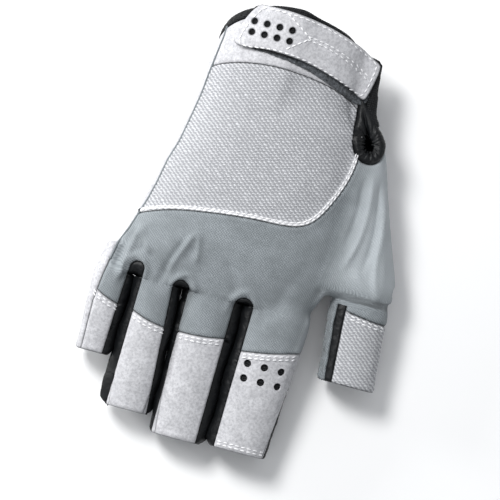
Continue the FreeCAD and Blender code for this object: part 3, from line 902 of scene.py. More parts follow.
def vented(piece, holes):
    """Cuts the round vents out of a piece, after making it finer round them."""
    for _ in range(2):
        near = holes(coordinates(piece)) < VENT_ROOM
        close = {v for v, keep in zip(piece.verts, near) if keep}
        bmesh.ops.subdivide_edges(piece, edges=[e for e in piece.edges if set(e.verts) & close], cuts=1,
                                  use_grid_fill=True)
    split_along(piece, holes)
    keep_where(piece, lambda points: -holes(points))

# %% [markdown]
# ## Materials
#
# Every cloth is a plain shader with three things added: a weave or a nap that raises it a little, with painted
# shade in its hollows, a mottle in its colour, and painted shade in the seams. Each is a node group, so that all
# the cloths share them.

# %% Helpers for nodes
def group(name, inputs, outputs):
    """A new node group with its inputs and outputs."""
    tree = bpy.data.node_groups.new(name, "ShaderNodeTree")
    for label, kind, value in inputs:
        socket = tree.interface.new_socket(label, in_out="INPUT", socket_type=kind)
        if value is not None:
            socket.default_value = value
    for label, kind in outputs:
        tree.interface.new_socket(label, in_out="OUTPUT", socket_type=kind)
    return tree, tree.nodes.new("NodeGroupInput"), tree.nodes.new("NodeGroupOutput")


def node(tree, kind, settings=None, **inputs):
    """A node with its settings, and its inputs given as values or as other nodes' sockets."""
    made_node = tree.nodes.new(kind)
    for key, value in (settings or {}).items():
        setattr(made_node, key, value)
    for key, value in inputs.items():
        socket = made_node.inputs[int(key[1:]) if key[0] == "i" and key[1:].isdigit() else key.replace("_", " ")]
        if isinstance(value, bpy.types.NodeSocket):
            tree.links.new(value, socket)
        else:
            socket.default_value = value
    return made_node


def maths(tree, operation, first, second=0.0, third=0.0):
    """One sum on numbers or sockets."""
    return node(tree, "ShaderNodeMath", {"operation": operation}, i0=first, i1=second, i2=third).outputs[0]


def vector_maths(tree, operation, first, **more):
    """One sum on vectors."""
    return node(tree, "ShaderNodeVectorMath", {"operation": operation}, i0=first, **more).outputs[0]


def mapped(tree, value, low, high, to_low=0.0, to_high=1.0):
    """A value taken from one range to another, held at its ends."""
    return node(tree, "ShaderNodeMapRange", i0=value, i1=low, i2=high, i3=to_low, i4=to_high).outputs[0]


def speckle(tree, vector, scale, detail, **more):
    """A noise texture's outputs: its value, and its colour."""
    return node(tree, "ShaderNodeTexNoise", Vector=vector, Scale=scale, Detail=detail, **more).outputs


def shared(tree, group_tree, *values):
    """A shared group's output, with its inputs given in order."""
    inputs = {f"i{k}": value for k, value in enumerate(values)}
    return node(tree, "ShaderNodeGroup", {"node_tree": group_tree}, **inputs).outputs[0]


def attribute(tree, name):
    """A value that the mesh carries."""
    return node(tree, "ShaderNodeAttribute", {"attribute_name": name}).outputs["Fac"]


# %% Node groups
def mottle_group():
    """Patches of two sizes, from 0 to 1."""
    tree, given, out = group("mottle", [("Vector", "NodeSocketVector", None), ("Size mm", "NodeSocketFloat", 6.0)],
                             [("Mask", "NodeSocketFloat")])
    scale = maths(tree, "DIVIDE", 1000.0, given.outputs["Size mm"])
    broad = speckle(tree, given.outputs["Vector"], scale, 5.0, Roughness=0.62)
    tree.links.new(mapped(tree, broad[0], 0.32, 0.68), out.inputs["Mask"])
    return tree


def weave_group():
    """Two crossing sets of threads in millimetres, one over the other, as heights from 0 to 1."""
    tree, given, out = group("weave", [
        ("Vector", "NodeSocketVector", None), ("Pitch mm", "NodeSocketFloat", 0.8),
        ("Angle", "NodeSocketFloat", 0.0), ("Crossing", "NodeSocketFloat", 0.4)], [("Height", "NodeSocketFloat")])
    wobble = speckle(tree, given.outputs["Vector"], 0.5, 2.0)
    bent = vector_maths(tree, "ADD", given.outputs["Vector"], i1=wobble[1])
    turned = node(tree, "ShaderNodeVectorRotate", {"rotation_type": "Z_AXIS"}, Vector=bent,
                  Angle=given.outputs["Angle"])
    parts = node(tree, "ShaderNodeSeparateXYZ", i0=turned.outputs[0])
    per_mm = maths(tree, "DIVIDE", 2 * math.pi, given.outputs["Pitch mm"])
    waves = []
    for k in (0, 1):
        sine = maths(tree, "SINE", maths(tree, "MULTIPLY", parts.outputs[k], per_mm))
        waves.append(maths(tree, "MULTIPLY_ADD", sine, 0.5, 0.5))
    crossing = maths(tree, "MULTIPLY", waves[1], given.outputs["Crossing"])
    total = maths(tree, "DIVIDE", maths(tree, "ADD", waves[0], crossing),
                  maths(tree, "ADD", 1.0, given.outputs["Crossing"]))
    tree.links.new(total, out.inputs["Height"])
    return tree


def nap_group():
    """Short brushed fibres and their tufts, as heights from 0 to 1."""
    tree, given, out = group("nap", [("Vector", "NodeSocketVector", None)], [("Height", "NodeSocketFloat")])
    fibre = speckle(tree, given.outputs["Vector"], 3200.0, 3.0, Roughness=0.7)
    tuft = speckle(tree, given.outputs["Vector"], 900.0, 4.0, Roughness=0.6)
    tree.links.new(maths(tree, "MULTIPLY_ADD", tuft[0], 0.6, maths(tree, "MULTIPLY", fibre[0], 0.4)),
                   out.inputs["Height"])
    return tree


def seam_group():
    """How deep in a seam a point lies: 1 at the panel's border, 0 a little inside it."""
    tree, given, out = group("seam", [("Reach mm", "NodeSocketFloat", 1.0)], [("Mask", "NodeSocketFloat")])
    share = maths(tree, "DIVIDE", attribute(tree, "edge"), given.outputs["Reach mm"])
    tree.links.new(maths(tree, "POWER", maths(tree, "SUBTRACT", 1.0, mapped(tree, share, 0.0, 1.0)), 1.5),
                   out.inputs["Mask"])
    return tree


def grain_group():
    """The knit's slanting grains in staggered rows, as heights from 0 to 1, in plan."""
    tree, given, out = group("grain", [("Vector", "NodeSocketVector", None)], [("Height", "NodeSocketFloat")])
    wobble = speckle(tree, given.outputs["Vector"], 420.0, 2.0)
    centred = vector_maths(tree, "SUBTRACT", wobble[1], i1=(0.5, 0.5, 0.5))
    small = vector_maths(tree, "SCALE", centred, Scale=KNIT_WOBBLE * MM)
    moved = vector_maths(tree, "ADD", given.outputs["Vector"], i1=small)
    parts = node(tree, "ShaderNodeSeparateXYZ", i0=moved).outputs
    turned = []
    for first, second in (KNIT_AXIS, (-KNIT_AXIS[1], KNIT_AXIS[0])):
        other = maths(tree, "MULTIPLY", parts[1], second * 1000.0)
        turned.append(maths(tree, "MULTIPLY_ADD", parts[0], first * 1000.0, other))
    across, along_rows = [maths(tree, "DIVIDE", value, pitch) for value, pitch in zip(turned, KNIT_PITCH)]
    row = maths(tree, "FLOOR", along_rows)
    across = maths(tree, "SUBTRACT", maths(tree, "FRACT", maths(tree, "MULTIPLY_ADD", row, 0.5, across)), 0.5)
    up = maths(tree, "SUBTRACT", maths(tree, "FRACT", along_rows), 0.5)
    squares = []
    for value, size in zip((maths(tree, "MULTIPLY_ADD", up, KNIT_SLANT, across), up), KNIT_GRAIN):
        squares.append(maths(tree, "POWER", maths(tree, "ABSOLUTE", maths(tree, "DIVIDE", value, size)), 2.0))
    far = maths(tree, "ADD", *squares)
    tree.links.new(maths(tree, "EXPONENT", maths(tree, "MULTIPLY", far, -1.0)), out.inputs["Height"])
    return tree


KNIT_PITCH = (1.75, 1.2)       # between grains in a row, and between rows, in mm
KNIT_AXIS = (0.966, 0.26)      # the direction of the rows in plan
KNIT_SLANT = 0.75              # how far a grain leans
KNIT_GRAIN = (0.27, 0.46)      # a grain's half width and half length, as shares of the pitch
KNIT_WOBBLE = 1.4              # how far the yarn wanders, in mm
mottle, weave, nap, seam, grain = mottle_group(), weave_group(), nap_group(), seam_group(), grain_group()

# %% [markdown]
# Colours are given as they look on a screen and turned to linear light here.

# %% Cloth materials
def linear(level):
    """Linear light from a level of 0 to 255."""
    level /= 255.0
    return level / 12.92 if level <= 0.04045 else ((level + 0.055) / 1.055) ** 2.4


def colour(*levels):
    """A socket's colour from three levels."""
    return (*[linear(v) for v in levels], 1.0)


def blended(tree, factor, first, second):
    """Two colours mixed by a factor."""
    return node(tree, "ShaderNodeMix", {"data_type": "RGBA"}, i0=factor, i6=first, i7=second).outputs[2]


# The seam's colour is painted shade where each panel dips into its seam.
SEAM_SHADE_SHARE = 0.85         # how much of the seam's colour shows at the border


def cloth(name, dark, light, height, strength, distance, rough=0.9, sheen=0.0, mottle_mm=6.0, seam_shade_colour=None,
          seam_shade_mm=0.8, pale=None, specular=0.5, hollow_shade=None, hollow_shade_share=0.3, hollow_shade_range=(0.0, 0.6)):
    """A cloth from dark to light by its mottle, raised by the given height group. Painted shade darkens the low
    parts of that height and the border in its seams, and an attribute paints it paler, partly as a painted
    highlight.
    """
    material = bpy.data.materials.new(name)
    material.use_nodes = True
    tree = material.node_tree
    shader = tree.nodes["Principled BSDF"]
    where = node(tree, "ShaderNodeTexCoord").outputs
    base = blended(tree, shared(tree, mottle, where["Object"], mottle_mm), colour(*dark), colour(*light))
    raised = height(tree, where)
    # Painted shade: the low parts of the height are mixed towards a darker colour, as if shade lay in the hollows.
    shadow = maths(tree, "MULTIPLY", mapped(tree, raised, *hollow_shade_range, 1.0, 0.0), hollow_shade_share)
    base = blended(tree, shadow, base, colour(*(hollow_shade or [0.5 * v for v in dark])))
    # The attribute paints the cloth paler towards the pale colour: a painted highlight on folds and on the knit's
    # hem, and paler sides of the stretch cloth.
    if pale:
        base = blended(tree, attribute(tree, "pale_and_highlight"), base, colour(*pale))
    # Painted shade in the seams: the border, where the cloth dips into the seam, is mixed towards the seam's
    # darker colour.
    if seam_shade_colour:
        depth = maths(tree, "MULTIPLY", shared(tree, seam, seam_shade_mm), SEAM_SHADE_SHARE)
        base = blended(tree, depth, base, colour(*seam_shade_colour))
    tree.links.new(base, shader.inputs["Base Color"])
    for socket, value in (("Roughness", rough), ("Sheen Weight", sheen), ("Sheen Roughness", 0.5),
                          ("Specular IOR Level", specular)):
        shader.inputs[socket].default_value = value
    bump = node(tree, "ShaderNodeBump", Strength=strength, Distance=distance * MM, Height=raised)
    tree.links.new(bump.outputs[0], shader.inputs["Normal"])
    return material


def woven(pitch, angle, crossing):
    """A weave with its threads' pitch, angle and crossing set."""
    return lambda tree, where: shared(tree, weave, where["UV"], pitch, angle, crossing)


def grained(tree, where):
    """The knit's grains."""
    return shared(tree, grain, where["Object"])


def brushed(tree, where):
    """Suede's nap."""
    return shared(tree, nap, where["Object"])


def wrinkled(tree, where):
    """Fine creases."""
    return speckle(tree, where["Object"], 420.0, 4.0, Distortion=0.6)[0]


# %% The nine cloths
# Hollow colours are painted shade in each weave's low parts, seam colours are painted shade in the seams, and the
# pale colours paint highlights and paler sides.
STRETCH = cloth("stretch_twill", (131, 137, 140), (150, 156, 160), woven(0.85, 0.9, 0.35), 0.9, 0.24, sheen=0.1,
                mottle_mm=9.0, seam_shade_colour=(66, 71, 74), seam_shade_mm=0.8, pale=(188, 194, 198), specular=0.3,
                hollow_shade=(100, 106, 110), hollow_shade_share=0.7)
KNIT = cloth("open_knit", (196, 197, 200), (212, 213, 216), grained, 0.9, 0.3, mottle_mm=3.0, specular=0.3,
             seam_shade_colour=(60, 62, 65), seam_shade_mm=0.7, pale=(236, 236, 238), hollow_shade=(138, 139, 143),
             hollow_shade_share=0.85, hollow_shade_range=(0.02, 0.62))
SUEDE = cloth("pale_suede", (186, 186, 189), (208, 208, 211), brushed, 0.8, 0.16, sheen=0.15, mottle_mm=5.0,
              specular=0.2, seam_shade_colour=(96, 97, 100), seam_shade_mm=0.7, hollow_shade=(140, 140, 144), hollow_shade_share=0.55,
              hollow_shade_range=(0.40, 0.56))
TAPE = cloth("black_tape", (4, 5, 7), (17, 20, 23), woven(0.9, 1.57, 0.5), 1.0, 0.3, rough=0.6, mottle_mm=3.0,
             specular=0.3)
SIDE = cloth("black_side_cloth", (3, 4, 6), (12, 15, 18), wrinkled, 0.6, 0.6, rough=0.5, mottle_mm=4.0,
             specular=0.35)
PILE = cloth("loop_pile", (30, 33, 36), (112, 116, 121), brushed, 1.0, 0.8, sheen=0.3, mottle_mm=1.2,
             specular=0.1)
LINING = cloth("lining", (16, 18, 20), (28, 31, 34), woven(0.6, 0.0, 1.0), 0.5, 0.1, specular=0.2)
GRIP = cloth("grip_rubber", (88, 93, 98), (104, 109, 114), woven(1.8, 0.785, 1.0), 0.8, 0.5, rough=0.7,
             hollow_shade_share=0.5)
THREAD = cloth("thread", (232, 232, 234), (250, 250, 251), woven(0.3, 0.6, 0.2), 0.3, 0.05, rough=0.6,
               hollow_shade_share=0.1)
print(len(bpy.data.materials), "materials,", len(bpy.data.node_groups), "node groups")

# %% [markdown]
# ## The knit back
#
# The back is a coarse knit. Its stitches are about a millimetre and a half apart and stand in staggered
# rows, each a slanting grain. They are big enough to catch the light one by one, so they are raised in the
# mesh. The lower and thumbward borders are turned up and stitched, and a painted highlight makes them the
# palest part.

# %% Knit panel
KNIT_RISE = 0.24          # height of a grain
HEM_WIDTH, HEM_RISE, HEM_END_Y = 1.9, 0.55, 40.0


def knit_height(points):
    """Slanting grains in staggered rows, from 0 to 1."""
    u = points[:, 0] * KNIT_AXIS[0] + points[:, 1] * KNIT_AXIS[1]
    v = points[:, 1] * KNIT_AXIS[0] - points[:, 0] * KNIT_AXIS[1]
    row = np.floor(v / KNIT_PITCH[1])
    across = (u / KNIT_PITCH[0] + 0.5 * row) % 1.0 - 0.5
    up = (v / KNIT_PITCH[1]) % 1.0 - 0.5
    slant = across + KNIT_SLANT * up
    return np.exp(-(slant / KNIT_GRAIN[0]) ** 2 - (up / KNIT_GRAIN[1]) ** 2)


def knit_hem(points):
    """1 on the turned-up border along the panel's lower and thumbward sides."""
    edge, _ = plan_distance(points, knit_outline, closed=True)
    return np.clip(1 - (edge / HEM_WIDTH) ** 4, 0, 1) * (points[:, 1] < HEM_END_Y)


piece = taken("knit_back")
edge = sewn(piece, ridge=0.1)
bmesh.ops.subdivide_edges(piece, edges=piece.edges, cuts=1, use_grid_fill=True)
points, out = coordinates(piece), normals(piece)
edge = border_distance(piece)
hem = knit_hem(points)
grains = knit_height(points) * (1 - hem) * np.clip(edge / 0.8, 0, 1)
lift = KNIT_RISE * grains + HEM_RISE * hem * np.clip(edge / 0.5, 0, 1)
place_at(piece, points + out * lift[:, None])
# The hem is painted paler, as a painted highlight on its raised border.
made(piece, "back_knit", KNIT, ["back_knit_panel"], edge=edge, inner=LINING, pale_and_highlight=lambda p: 0.8 * hem)

# %% [markdown]
# ## Stretch cloth, suede and palm
#
# The rest of the hand's shell is smooth cloth. The stretch cloth is painted paler at the thumb's side, and a
# painted highlight runs along the index finger's edge, where it is pulled over a fold.

# %% Hand panels
# Paler bands, each a plan line, half width and amount: a painted highlight along the index finger's edge, and a
# paler band down the thumb's side.
PALE_AND_HIGHLIGHT_BANDS = [([(37.4, -34.0), (34.6, -48.0), (32.6, -62.0)], 1.7, 0.75),
              ([(45.0, 24.0), (48.4, 4.0), (47.4, -10.0), (43.6, -22.0)], 2.4, 0.35)]


def stretch_pale_and_highlight(points):
    """0 to 1: how much paler the stretch cloth is painted, towards the thumb's side, a little towards the little
    finger's side, and along the bands, the first of them a painted highlight.
    """
    pale_and_highlight = 0.62 * np.clip((points[:, 0] - 36.0) / 9.0, 0, 1) * np.clip((points[:, 1] + 34.0) / 10.0, 0, 1)
    pale_and_highlight += 0.12 * np.clip((-38.0 - points[:, 0]) / 12.0, 0, 1)
    for line, width, amount in PALE_AND_HIGHLIGHT_BANDS:
        distance, _ = plan_distance(points, line)
        pale_and_highlight = np.maximum(pale_and_highlight, amount * np.exp(-(distance / width) ** 2))
    return np.clip(pale_and_highlight, 0, 1)


HAND_PANELS = [  # panel, piece, material, node, slot, measured from below
    ("knuckle_stretch", "knuckle_cloth", STRETCH, "knuckle_stretch_panel", "stretch", False),
    ("wrist_suede", "wrist_cloth", SUEDE, "wrist_band", "suede", False),
    ("palm_suede", "palm", SUEDE, "palm_leather", "suede", True),
]
for panel, name, material, node_name, slot_name, below in HAND_PANELS:
    piece = taken(panel)
    edge = sewn(piece)
    made(piece, name, material, [node_name], below=below, edge=edge, inner=LINING,
         pale_and_highlight=stretch_pale_and_highlight if material is STRETCH else None)

# %% [markdown]
# ## Stalls
#
# Each stall is a tube of four strips, with a suede cuff over the end.

# %% Wrinkles, sag and bulge
LANE_CLEARANCE = 0.10     # half the gap between two fingers' strips
LANE_WAVE = 0.45          # the two strips meet on a wavy face, so no light falls through
PUFF_REACH = 3.2          # a strip bulges fully this far from its seams
SAG, SAG_START, SAG_LENGTH = 3.4, -42.5, 5.0
SAG_LOW_Z, SAG_RISE = 13.0, 6.0
LONG_WRINKLES = (1.0, 0.6, 1.0)


def crumpled(piece, height, per_mm, stretch=(1.0, 1.0, 1.0)):
    """Raises small irregular wrinkles, longer along the axis with the smaller factor."""
    points, out = coordinates(piece), normals(piece)
    spots = [Vector((p[0] * stretch[0], p[1] * stretch[1], p[2] * stretch[2])) * per_mm for p in points]
    bumps = np.array([noise.fractal(spot, 0.7, 2.1, 3) for spot in spots])
    place_at(piece, points + out * (height * bumps)[:, None])


def eased_in(value, reach):
    """0 at a border and 1 from the reach inwards, with no corner between."""
    share = np.clip(value / reach, 0, 1)
    return share * share * (3 - 2 * share)


def sagging(piece, middle=None):
    """Lets the black cloth between two fingers sink where the fingers part. The lane's own middle isn't a seam."""
    points = coordinates(piece)
    ramp = np.clip((SAG_START - points[:, 1]) / SAG_LENGTH, 0, 1) ** 2
    free = np.clip(border_distance(piece, middle) / 2.0, 0, 1)
    high = np.clip((points[:, 2] - SAG_LOW_Z) / SAG_RISE, 0, 1)
    points[:, 2] -= SAG * ramp * free * free * (3 - 2 * free) * high
    place_at(piece, points)


def fills_gap(piece, finger, part):
    """Lets a side strip bulge until it almost meets the neighbouring finger's strip."""
    k = FINGERS.index(finger) + (1 if part == "inner_side" else 0)
    if not 0 < k < len(FINGERS):
        return
    outer, inner = GAPS[k - 1]

    def from_middle(points):
        return np.abs(points[:, 0] - gap_middle(points, outer, inner))

    points = coordinates(piece)
    target = gap_middle(points, outer, inner)
    target += LANE_CLEARANCE if part == "outer_side" else -LANE_CLEARANCE
    target += LANE_WAVE * np.sin(0.7 * points[:, 2] + 0.12 * points[:, 1])
    sagging(piece, from_middle)
    points = coordinates(piece)
    points[:, 0] += eased_in(border_distance(piece, from_middle), PUFF_REACH) * (target - points[:, 0])
    place_at(piece, points)


# %% Finger and thumb panels
INDEX_VENT_R, INDEX_VENT_PITCH = 1.6, (7.4, 6.36)
vent_x, vent_y = hinge["index"][0] - 7.4, hinge["index"][1] - 23.0
index_vents = hole_field([(vent_x + i * INDEX_VENT_PITCH[0], vent_y - j * INDEX_VENT_PITCH[1])
                          for i in range(3) for j in range(2)], INDEX_VENT_R)
SUEDE_RIDGE = 0.3         # suede is stiffer, so it stands up more beside a seam


def stall_parts(finger):
    """A stall's panels: panel, piece, material, CAD nodes and slot."""
    if finger == "thumb":
        cuff = (KNIT, ["cuff"], "knit")
        sides = [("black_side", "black_strip", SIDE, ["inner_side"], "black_side"),
                 ("gathered_side", "gathered_strip", STRETCH, ["outer_side"], "stretch")]
    else:
        cuff = (SUEDE, ["cuff"], "suede")
        outer = (SUEDE, ["outer_side"], "suede") if finger == "little" else (SIDE, ["outer_side"], "black_side")
        sides = [("outer_side", "outer_strip", *outer),
                 ("inner_side", "inner_strip", SIDE, ["inner_side"], "black_side")]
    return [("back", "top_cloth", STRETCH, ["back", "base_sleeve"], "stretch"), ("cuff", "end_cuff", *cuff),
            ("palm", "leather", SUEDE, ["palm"], "suede")] + sides


for finger in STALLS:
    for part, word, material, nodes, slot_name in stall_parts(finger):
        piece = taken(f"{finger}_{part}")
        if part in ("outer_side", "inner_side"):
            fills_gap(piece, finger, part)
        edge = sewn(piece, ridge=SUEDE_RIDGE if material is SUEDE else RIDGE_HEIGHT)
        if part == "gathered_side":
            crumpled(piece, 0.85, 0.42, LONG_WRINKLES)
        elif material is SIDE:
            crumpled(piece, 0.24, 0.32, LONG_WRINKLES)
        elif (finger, part) == ("index", "cuff"):
            vented(piece, index_vents)
            edge = border_distance(piece, index_vents)
        made(piece, f"{finger}_{word}", material, [f"{finger}_{node_name}" for node_name in nodes],
             body=finger, below=part == "palm", edge=edge, inner=LINING,
             pale_and_highlight=stretch_pale_and_highlight if material is STRETCH else None)
for outer, inner in GAPS:
    piece = taken(f"{outer}_{inner}_web")
    sagging(piece)
    edge = sewn(piece, ridge=0.3)
    crumpled(piece, 0.3, 0.35)
    made(piece, f"{outer}_{inner}_crotch", SIDE, [f"{outer}_{inner}_web"], edge=edge, inner=SIDE)
print(len(pieces), "pieces so far")

# %% [markdown]
# ## Patches
#
# What is sewn on top of the shell or under it is cut from the same skin and moved along its normals, so it
# lies as close as a sewn patch does.

# %% Tools for patches
PATCH_REACH = 1.5         # the skin is kept this far past a patch before it is cut, in mm


def box_mm(node_name):
    """The two corners of a CAD node's box, in millimetres."""
    return [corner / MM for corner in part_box(node_name)]


def patch(field, offset, soften=0):
    """The part of the skin where the field is negative, moved outwards by the offset."""
    piece = bmesh.new()
    piece.from_mesh(skin)
    values = field(coordinates(piece))
    far = [v for v, value in zip(piece.verts, values) if value > PATCH_REACH]
    bmesh.ops.delete(piece, geom=far, context="VERTS")
    split_along(piece, field)
    keep_where(piece, field)
    points, out = coordinates(piece), normals(piece)
    if soften:
        pairs = np.array([[e.verts[0].index, e.verts[1].index] for e in piece.edges])
        out = smoothed(out, pairs, soften)
        out /= np.linalg.norm(out, axis=1)[:, None]
    place_at(piece, points + out * offset)
    return piece


def plate_field(node_name, corner=2.5, high_z=None, low_z=None, margin=0.0):
    """Negative over a CAD node's plan box, which gets round corners."""
    low, high = box_mm(node_name)
    middle = np.array([(low.x + high.x) / 2, (low.y + high.y) / 2])
    half = np.array([(high.x - low.x) / 2, (high.y - low.y) / 2]) + margin

    def field(points):
        over = np.abs(points[:, :2] - middle) - (half - corner)
        value = np.hypot(*np.maximum(over, 0).T) + np.minimum(over.max(axis=1), 0) - corner
        if high_z is not None:
            value = np.maximum(value, points[:, 2] - high_z)
        if low_z is not None:
            value = np.maximum(value, low_z - points[:, 2])
        return value
    return field


def domed(piece, roll, width):
    """Rounds a raised patch's border down. Returns the border distance."""
    points, out = coordinates(piece), normals(piece)
    edge = border_distance(piece)
    place_at(piece, points - out * (roll * np.clip(1 - edge / width, 0, 1) ** 2)[:, None])
    return edge


# %% Patches on the skin
def lining_field(points):
    """The cuff's lining runs from inside the edge to the middle of the back, and stops at the slit."""
    return np.maximum.reduce([LINING_END_Y - points[:, 1], cuff_field(points, 0.5), -keyhole_field(points, 0.6)])


def loop_field(points):
    """Negative on the loop pile, which lies under the strap."""
    return np.maximum(outline_field(points, LOOP), 24.0 - points[:, 2])


def anchor_field(points):
    """Negative on the tape that holds the strap's root."""
    return np.maximum.reduce([outline_field(points, ANCHOR), 15.0 - points[:, 2], cuff_field(points, 1.0)])


LINING_END_Y = 34.3
LOOP = rounded([(-22.0, 57.0), (-11.0, 56.8), (6.0, 54.6), (20.0, 49.4), (31.0, 45.2), (35.0, 50.0), (34.6, 60.0),
                (14.0, 72.0), (-2.0, 74.4), (-15.0, 73.6), (-22.0, 66.0)], closed=True)
ANCHOR = rounded([(33.0, 67.0), (40.0, 67.0), (41.5, 52.0), (42.4, 39.0), (37.6, 39.4), (33.0, 48.0)], closed=True)
FINGER_TIP_Z = 7.6        # the tip grips stay below this
PATCHES = [  # piece, field, offset, thickness, material, slot, node, body
    ("cuff_inner_lining", lining_field, -1.15, 0.6, LINING, "lining", "cuff_lining", "hand"),
    ("wrist_gather", plate_field("wrist_elastic", 1.0, high_z=12.0), -1.2, 0.8, LINING, "lining",
     "wrist_elastic", "hand"),
    ("loop_pile", loop_field, 1.0, 1.0, PILE, "hook_loop", "loop_patch", "hand"),
    ("anchor_tape", anchor_field, 1.1, 1.1, TAPE, "black_tape", "strap_anchor_tape", "hand"),
    ("crotch_saddle", plate_field("thumb_saddle_patch", 3.0, high_z=19.0), 0.9, 0.9, GRIP, "grip",
     "thumb_saddle_patch", "hand"),
    ("vent_backing", plate_field("index_vent_backing", 1.5, low_z=12.0), -1.1, 0.5, TAPE, "lining",
     "index_vent_backing", "index"),
]
for finger in STALLS:
    PATCHES.append((f"{finger}_tip_grip", plate_field(f"{finger}_grip", 4.0, high_z=FINGER_TIP_Z), 0.7, 0.7,
                    GRIP, "grip", f"{finger}_grip", finger))
for name, field, offset, thickness, material, slot_name, node_name, body in PATCHES:
    piece = patch(field, offset)
    if material is PILE:
        crumpled(piece, 0.45, 1.3)
    edge = domed(piece, 0.35, 0.7) if offset > 0 else border_distance(piece)
    below = material is GRIP or name == "wrist_gather"
    made(piece, name, material, [node_name], body=body, below=below, edge=edge, thickness=thickness)

# %% [markdown]
# ## Bound edges
#
# The cuff's edge is folded into a black tape. The slit beside it is bound in a gathered tape: it stands
# proud in a soft roll, and its inner half is drawn into radial puckers.

# %% Cuff tape
piece = taken("cuff_edge_tape")
edge = border_distance(piece)
points, out = coordinates(piece), skin_normals_at(coordinates(piece))
roll = 0.75 * np.sqrt(np.clip(1 - np.clip(1 - edge / 1.5, 0, 1) ** 2, 0, 1)) - 0.25
ripple = 0.10 * np.sin(2.2 * arc_length(points, hand_table)) * np.clip(edge, 0, 1)
place_at(piece, points + out * (roll + ripple)[:, None])
made(piece, "cuff_edge_tape", TAPE, ["cuff_binding"], edge=edge, inner=TAPE)

# %% Slit tape
SLIT_MIDDLE = Vector((40.2, 32.0))
PUCKERS = 17
piece = taken("keyhole_tape")
bmesh.ops.subdivide_edges(piece, edges=piece.edges, cuts=1, use_grid_fill=True)
points, out = coordinates(piece), skin_normals_at(coordinates(piece))
rim = -outline_field(points, KEYHOLE)
share = np.clip(rim / KEYHOLE_TAPE, 0, 1)
turn = np.arctan2(points[:, 1] - SLIT_MIDDLE.y, points[:, 0] - SLIT_MIDDLE.x)
pucker = np.array([noise.noise(Vector((math.cos(t) * PUCKERS / 3, math.sin(t) * PUCKERS / 3, 0.0))) for t in turn])
folds = np.sin(PUCKERS * turn + 3.0 * pucker)
height = 1.5 * np.sin(np.pi * np.clip(share * 0.85 + 0.06, 0, 1)) ** 0.6 - 0.9 * np.exp(-(rim / 0.5) ** 2)
height += 0.5 * folds * share ** 1.2 - 1.2 * share ** 3
points[:, :2] += (np.array(SLIT_MIDDLE) - points[:, :2]) * (0.12 * share ** 3 * (1 + folds))[:, None]
place_at(piece, points + out * height[:, None])
made(piece, "slit_tape", SIDE, ["slit_binding"], inner=SIDE)

# %% [markdown]
# ## The wrist strap
#
# The strap is two layers of suede with a stitched border. It lies on the loop pile and its tip carries the
# hook patch. On the glove it peels open about its root.

# %% Strap and hook patch
STRAP = [(-15.0, 75.8), (-19.6, 75.4), (-25.6, 60.8), (-24.2, 55.8), (-11.0, 58.4), (6.0, 57.2), (21.1, 52.6),
         (30.0, 48.9), (32.8, 48.9), (35.2, 63.2), (34.0, 65.4), (15.2, 73.0), (-2.7, 75.8)]
STRAP_OFFSET, STRAP_THICKNESS = 3.1, 1.2
STRAP_SOFTEN = 40         # rounds of smoothing on the normals, so that the strap doesn't copy the folds below
strap_outline = rounded(STRAP, rounds=2, closed=True)
VENT_R, VENT_START, VENT_PITCH = 1.4, (-20.1, 63.6), (5.4, 4.6)
strap_vents = hole_field([(VENT_START[0] + i * VENT_PITCH[0], VENT_START[1] + j * VENT_PITCH[1])
                          for i in range(4) for j in range(2)], VENT_R)


def strap_field(points):
    """Negative on the strap."""
    return np.maximum(outline_field(points, strap_outline), 22.0 - points[:, 2])


piece = patch(strap_field, STRAP_OFFSET, soften=STRAP_SOFTEN)
domed(piece, 0.5, 1.0)
vented(piece, strap_vents)
strap_tree = BVHTree.FromBMesh(piece)
made(piece, "wrist_strap", SUEDE, ["strap_tab"], body="strap", thickness=STRAP_THICKNESS, inner=SUEDE)
hook_field = plate_field("hook_patch", 2.5, low_z=24.0, margin=-0.5)
piece = patch(hook_field, STRAP_OFFSET - STRAP_THICKNESS, soften=STRAP_SOFTEN)
made(piece, "hook_patch_strip", TAPE, ["hook_patch"], body="strap", thickness=0.8)

# %% [markdown]
# ## Grip pads
#
# The glove lies on two flat pads under the palm. Each is a thin cushion with round corners.

# %% Pads under the palm
PAD_CORNER = 4.0
for node_name, name in (("palm_grip_pad", "palm_pad"), ("heel_grip_pad", "heel_pad")):
    low, high = box_mm(node_name)
    thick = high.z - low.z
    piece = bmesh.new()
    bmesh.ops.create_grid(piece, x_segments=60, y_segments=40, size=0.5)
    bmesh.ops.scale(piece, vec=(high.x - low.x + 1.0, high.y - low.y + 1.0, 1.0), verts=piece.verts)
    bmesh.ops.translate(piece, vec=((low.x + high.x) / 2, (low.y + high.y) / 2, low.z), verts=piece.verts)
    bmesh.ops.reverse_faces(piece, faces=piece.faces)
    field = plate_field(node_name, PAD_CORNER)
    split_along(piece, field)
    keep_where(piece, field)
    edge = domed(piece, 0.45 * thick, 0.9)
    obj = made(piece, name, GRIP, [node_name], below=True, edge=edge, thickness=thick * 0.55 + 0.4)

# %% [markdown]
# ## Thread
#
# Each stitch is a short thick grain of thread, sunk a little into the cloth. They are laid along plan lines
# and dropped onto the surface.

# %% Tools for stitches
skin_surface = BVHTree.FromPolygons([v.co for v in skin.vertices], [p.vertices for p in skin.polygons])
STITCH, STITCH_GAP, STITCH_WIDTH = 1.95, 0.6, 0.62


def offset_line(line, distance):
    """A plan line moved sideways: to its left for a positive distance."""
    points = np.array(line, float)
    along_it = np.gradient(points, axis=0)
    along_it /= np.linalg.norm(along_it, axis=1)[:, None]
    return [tuple(p) for p in points + distance * np.stack([-along_it[:, 1], along_it[:, 0]], axis=1)]


def side_seam_x(y):
    """Plan x of the seam on the little finger's side."""
    return along(np.array([[0, y, 0]]), SIDE_SEAM)[0]


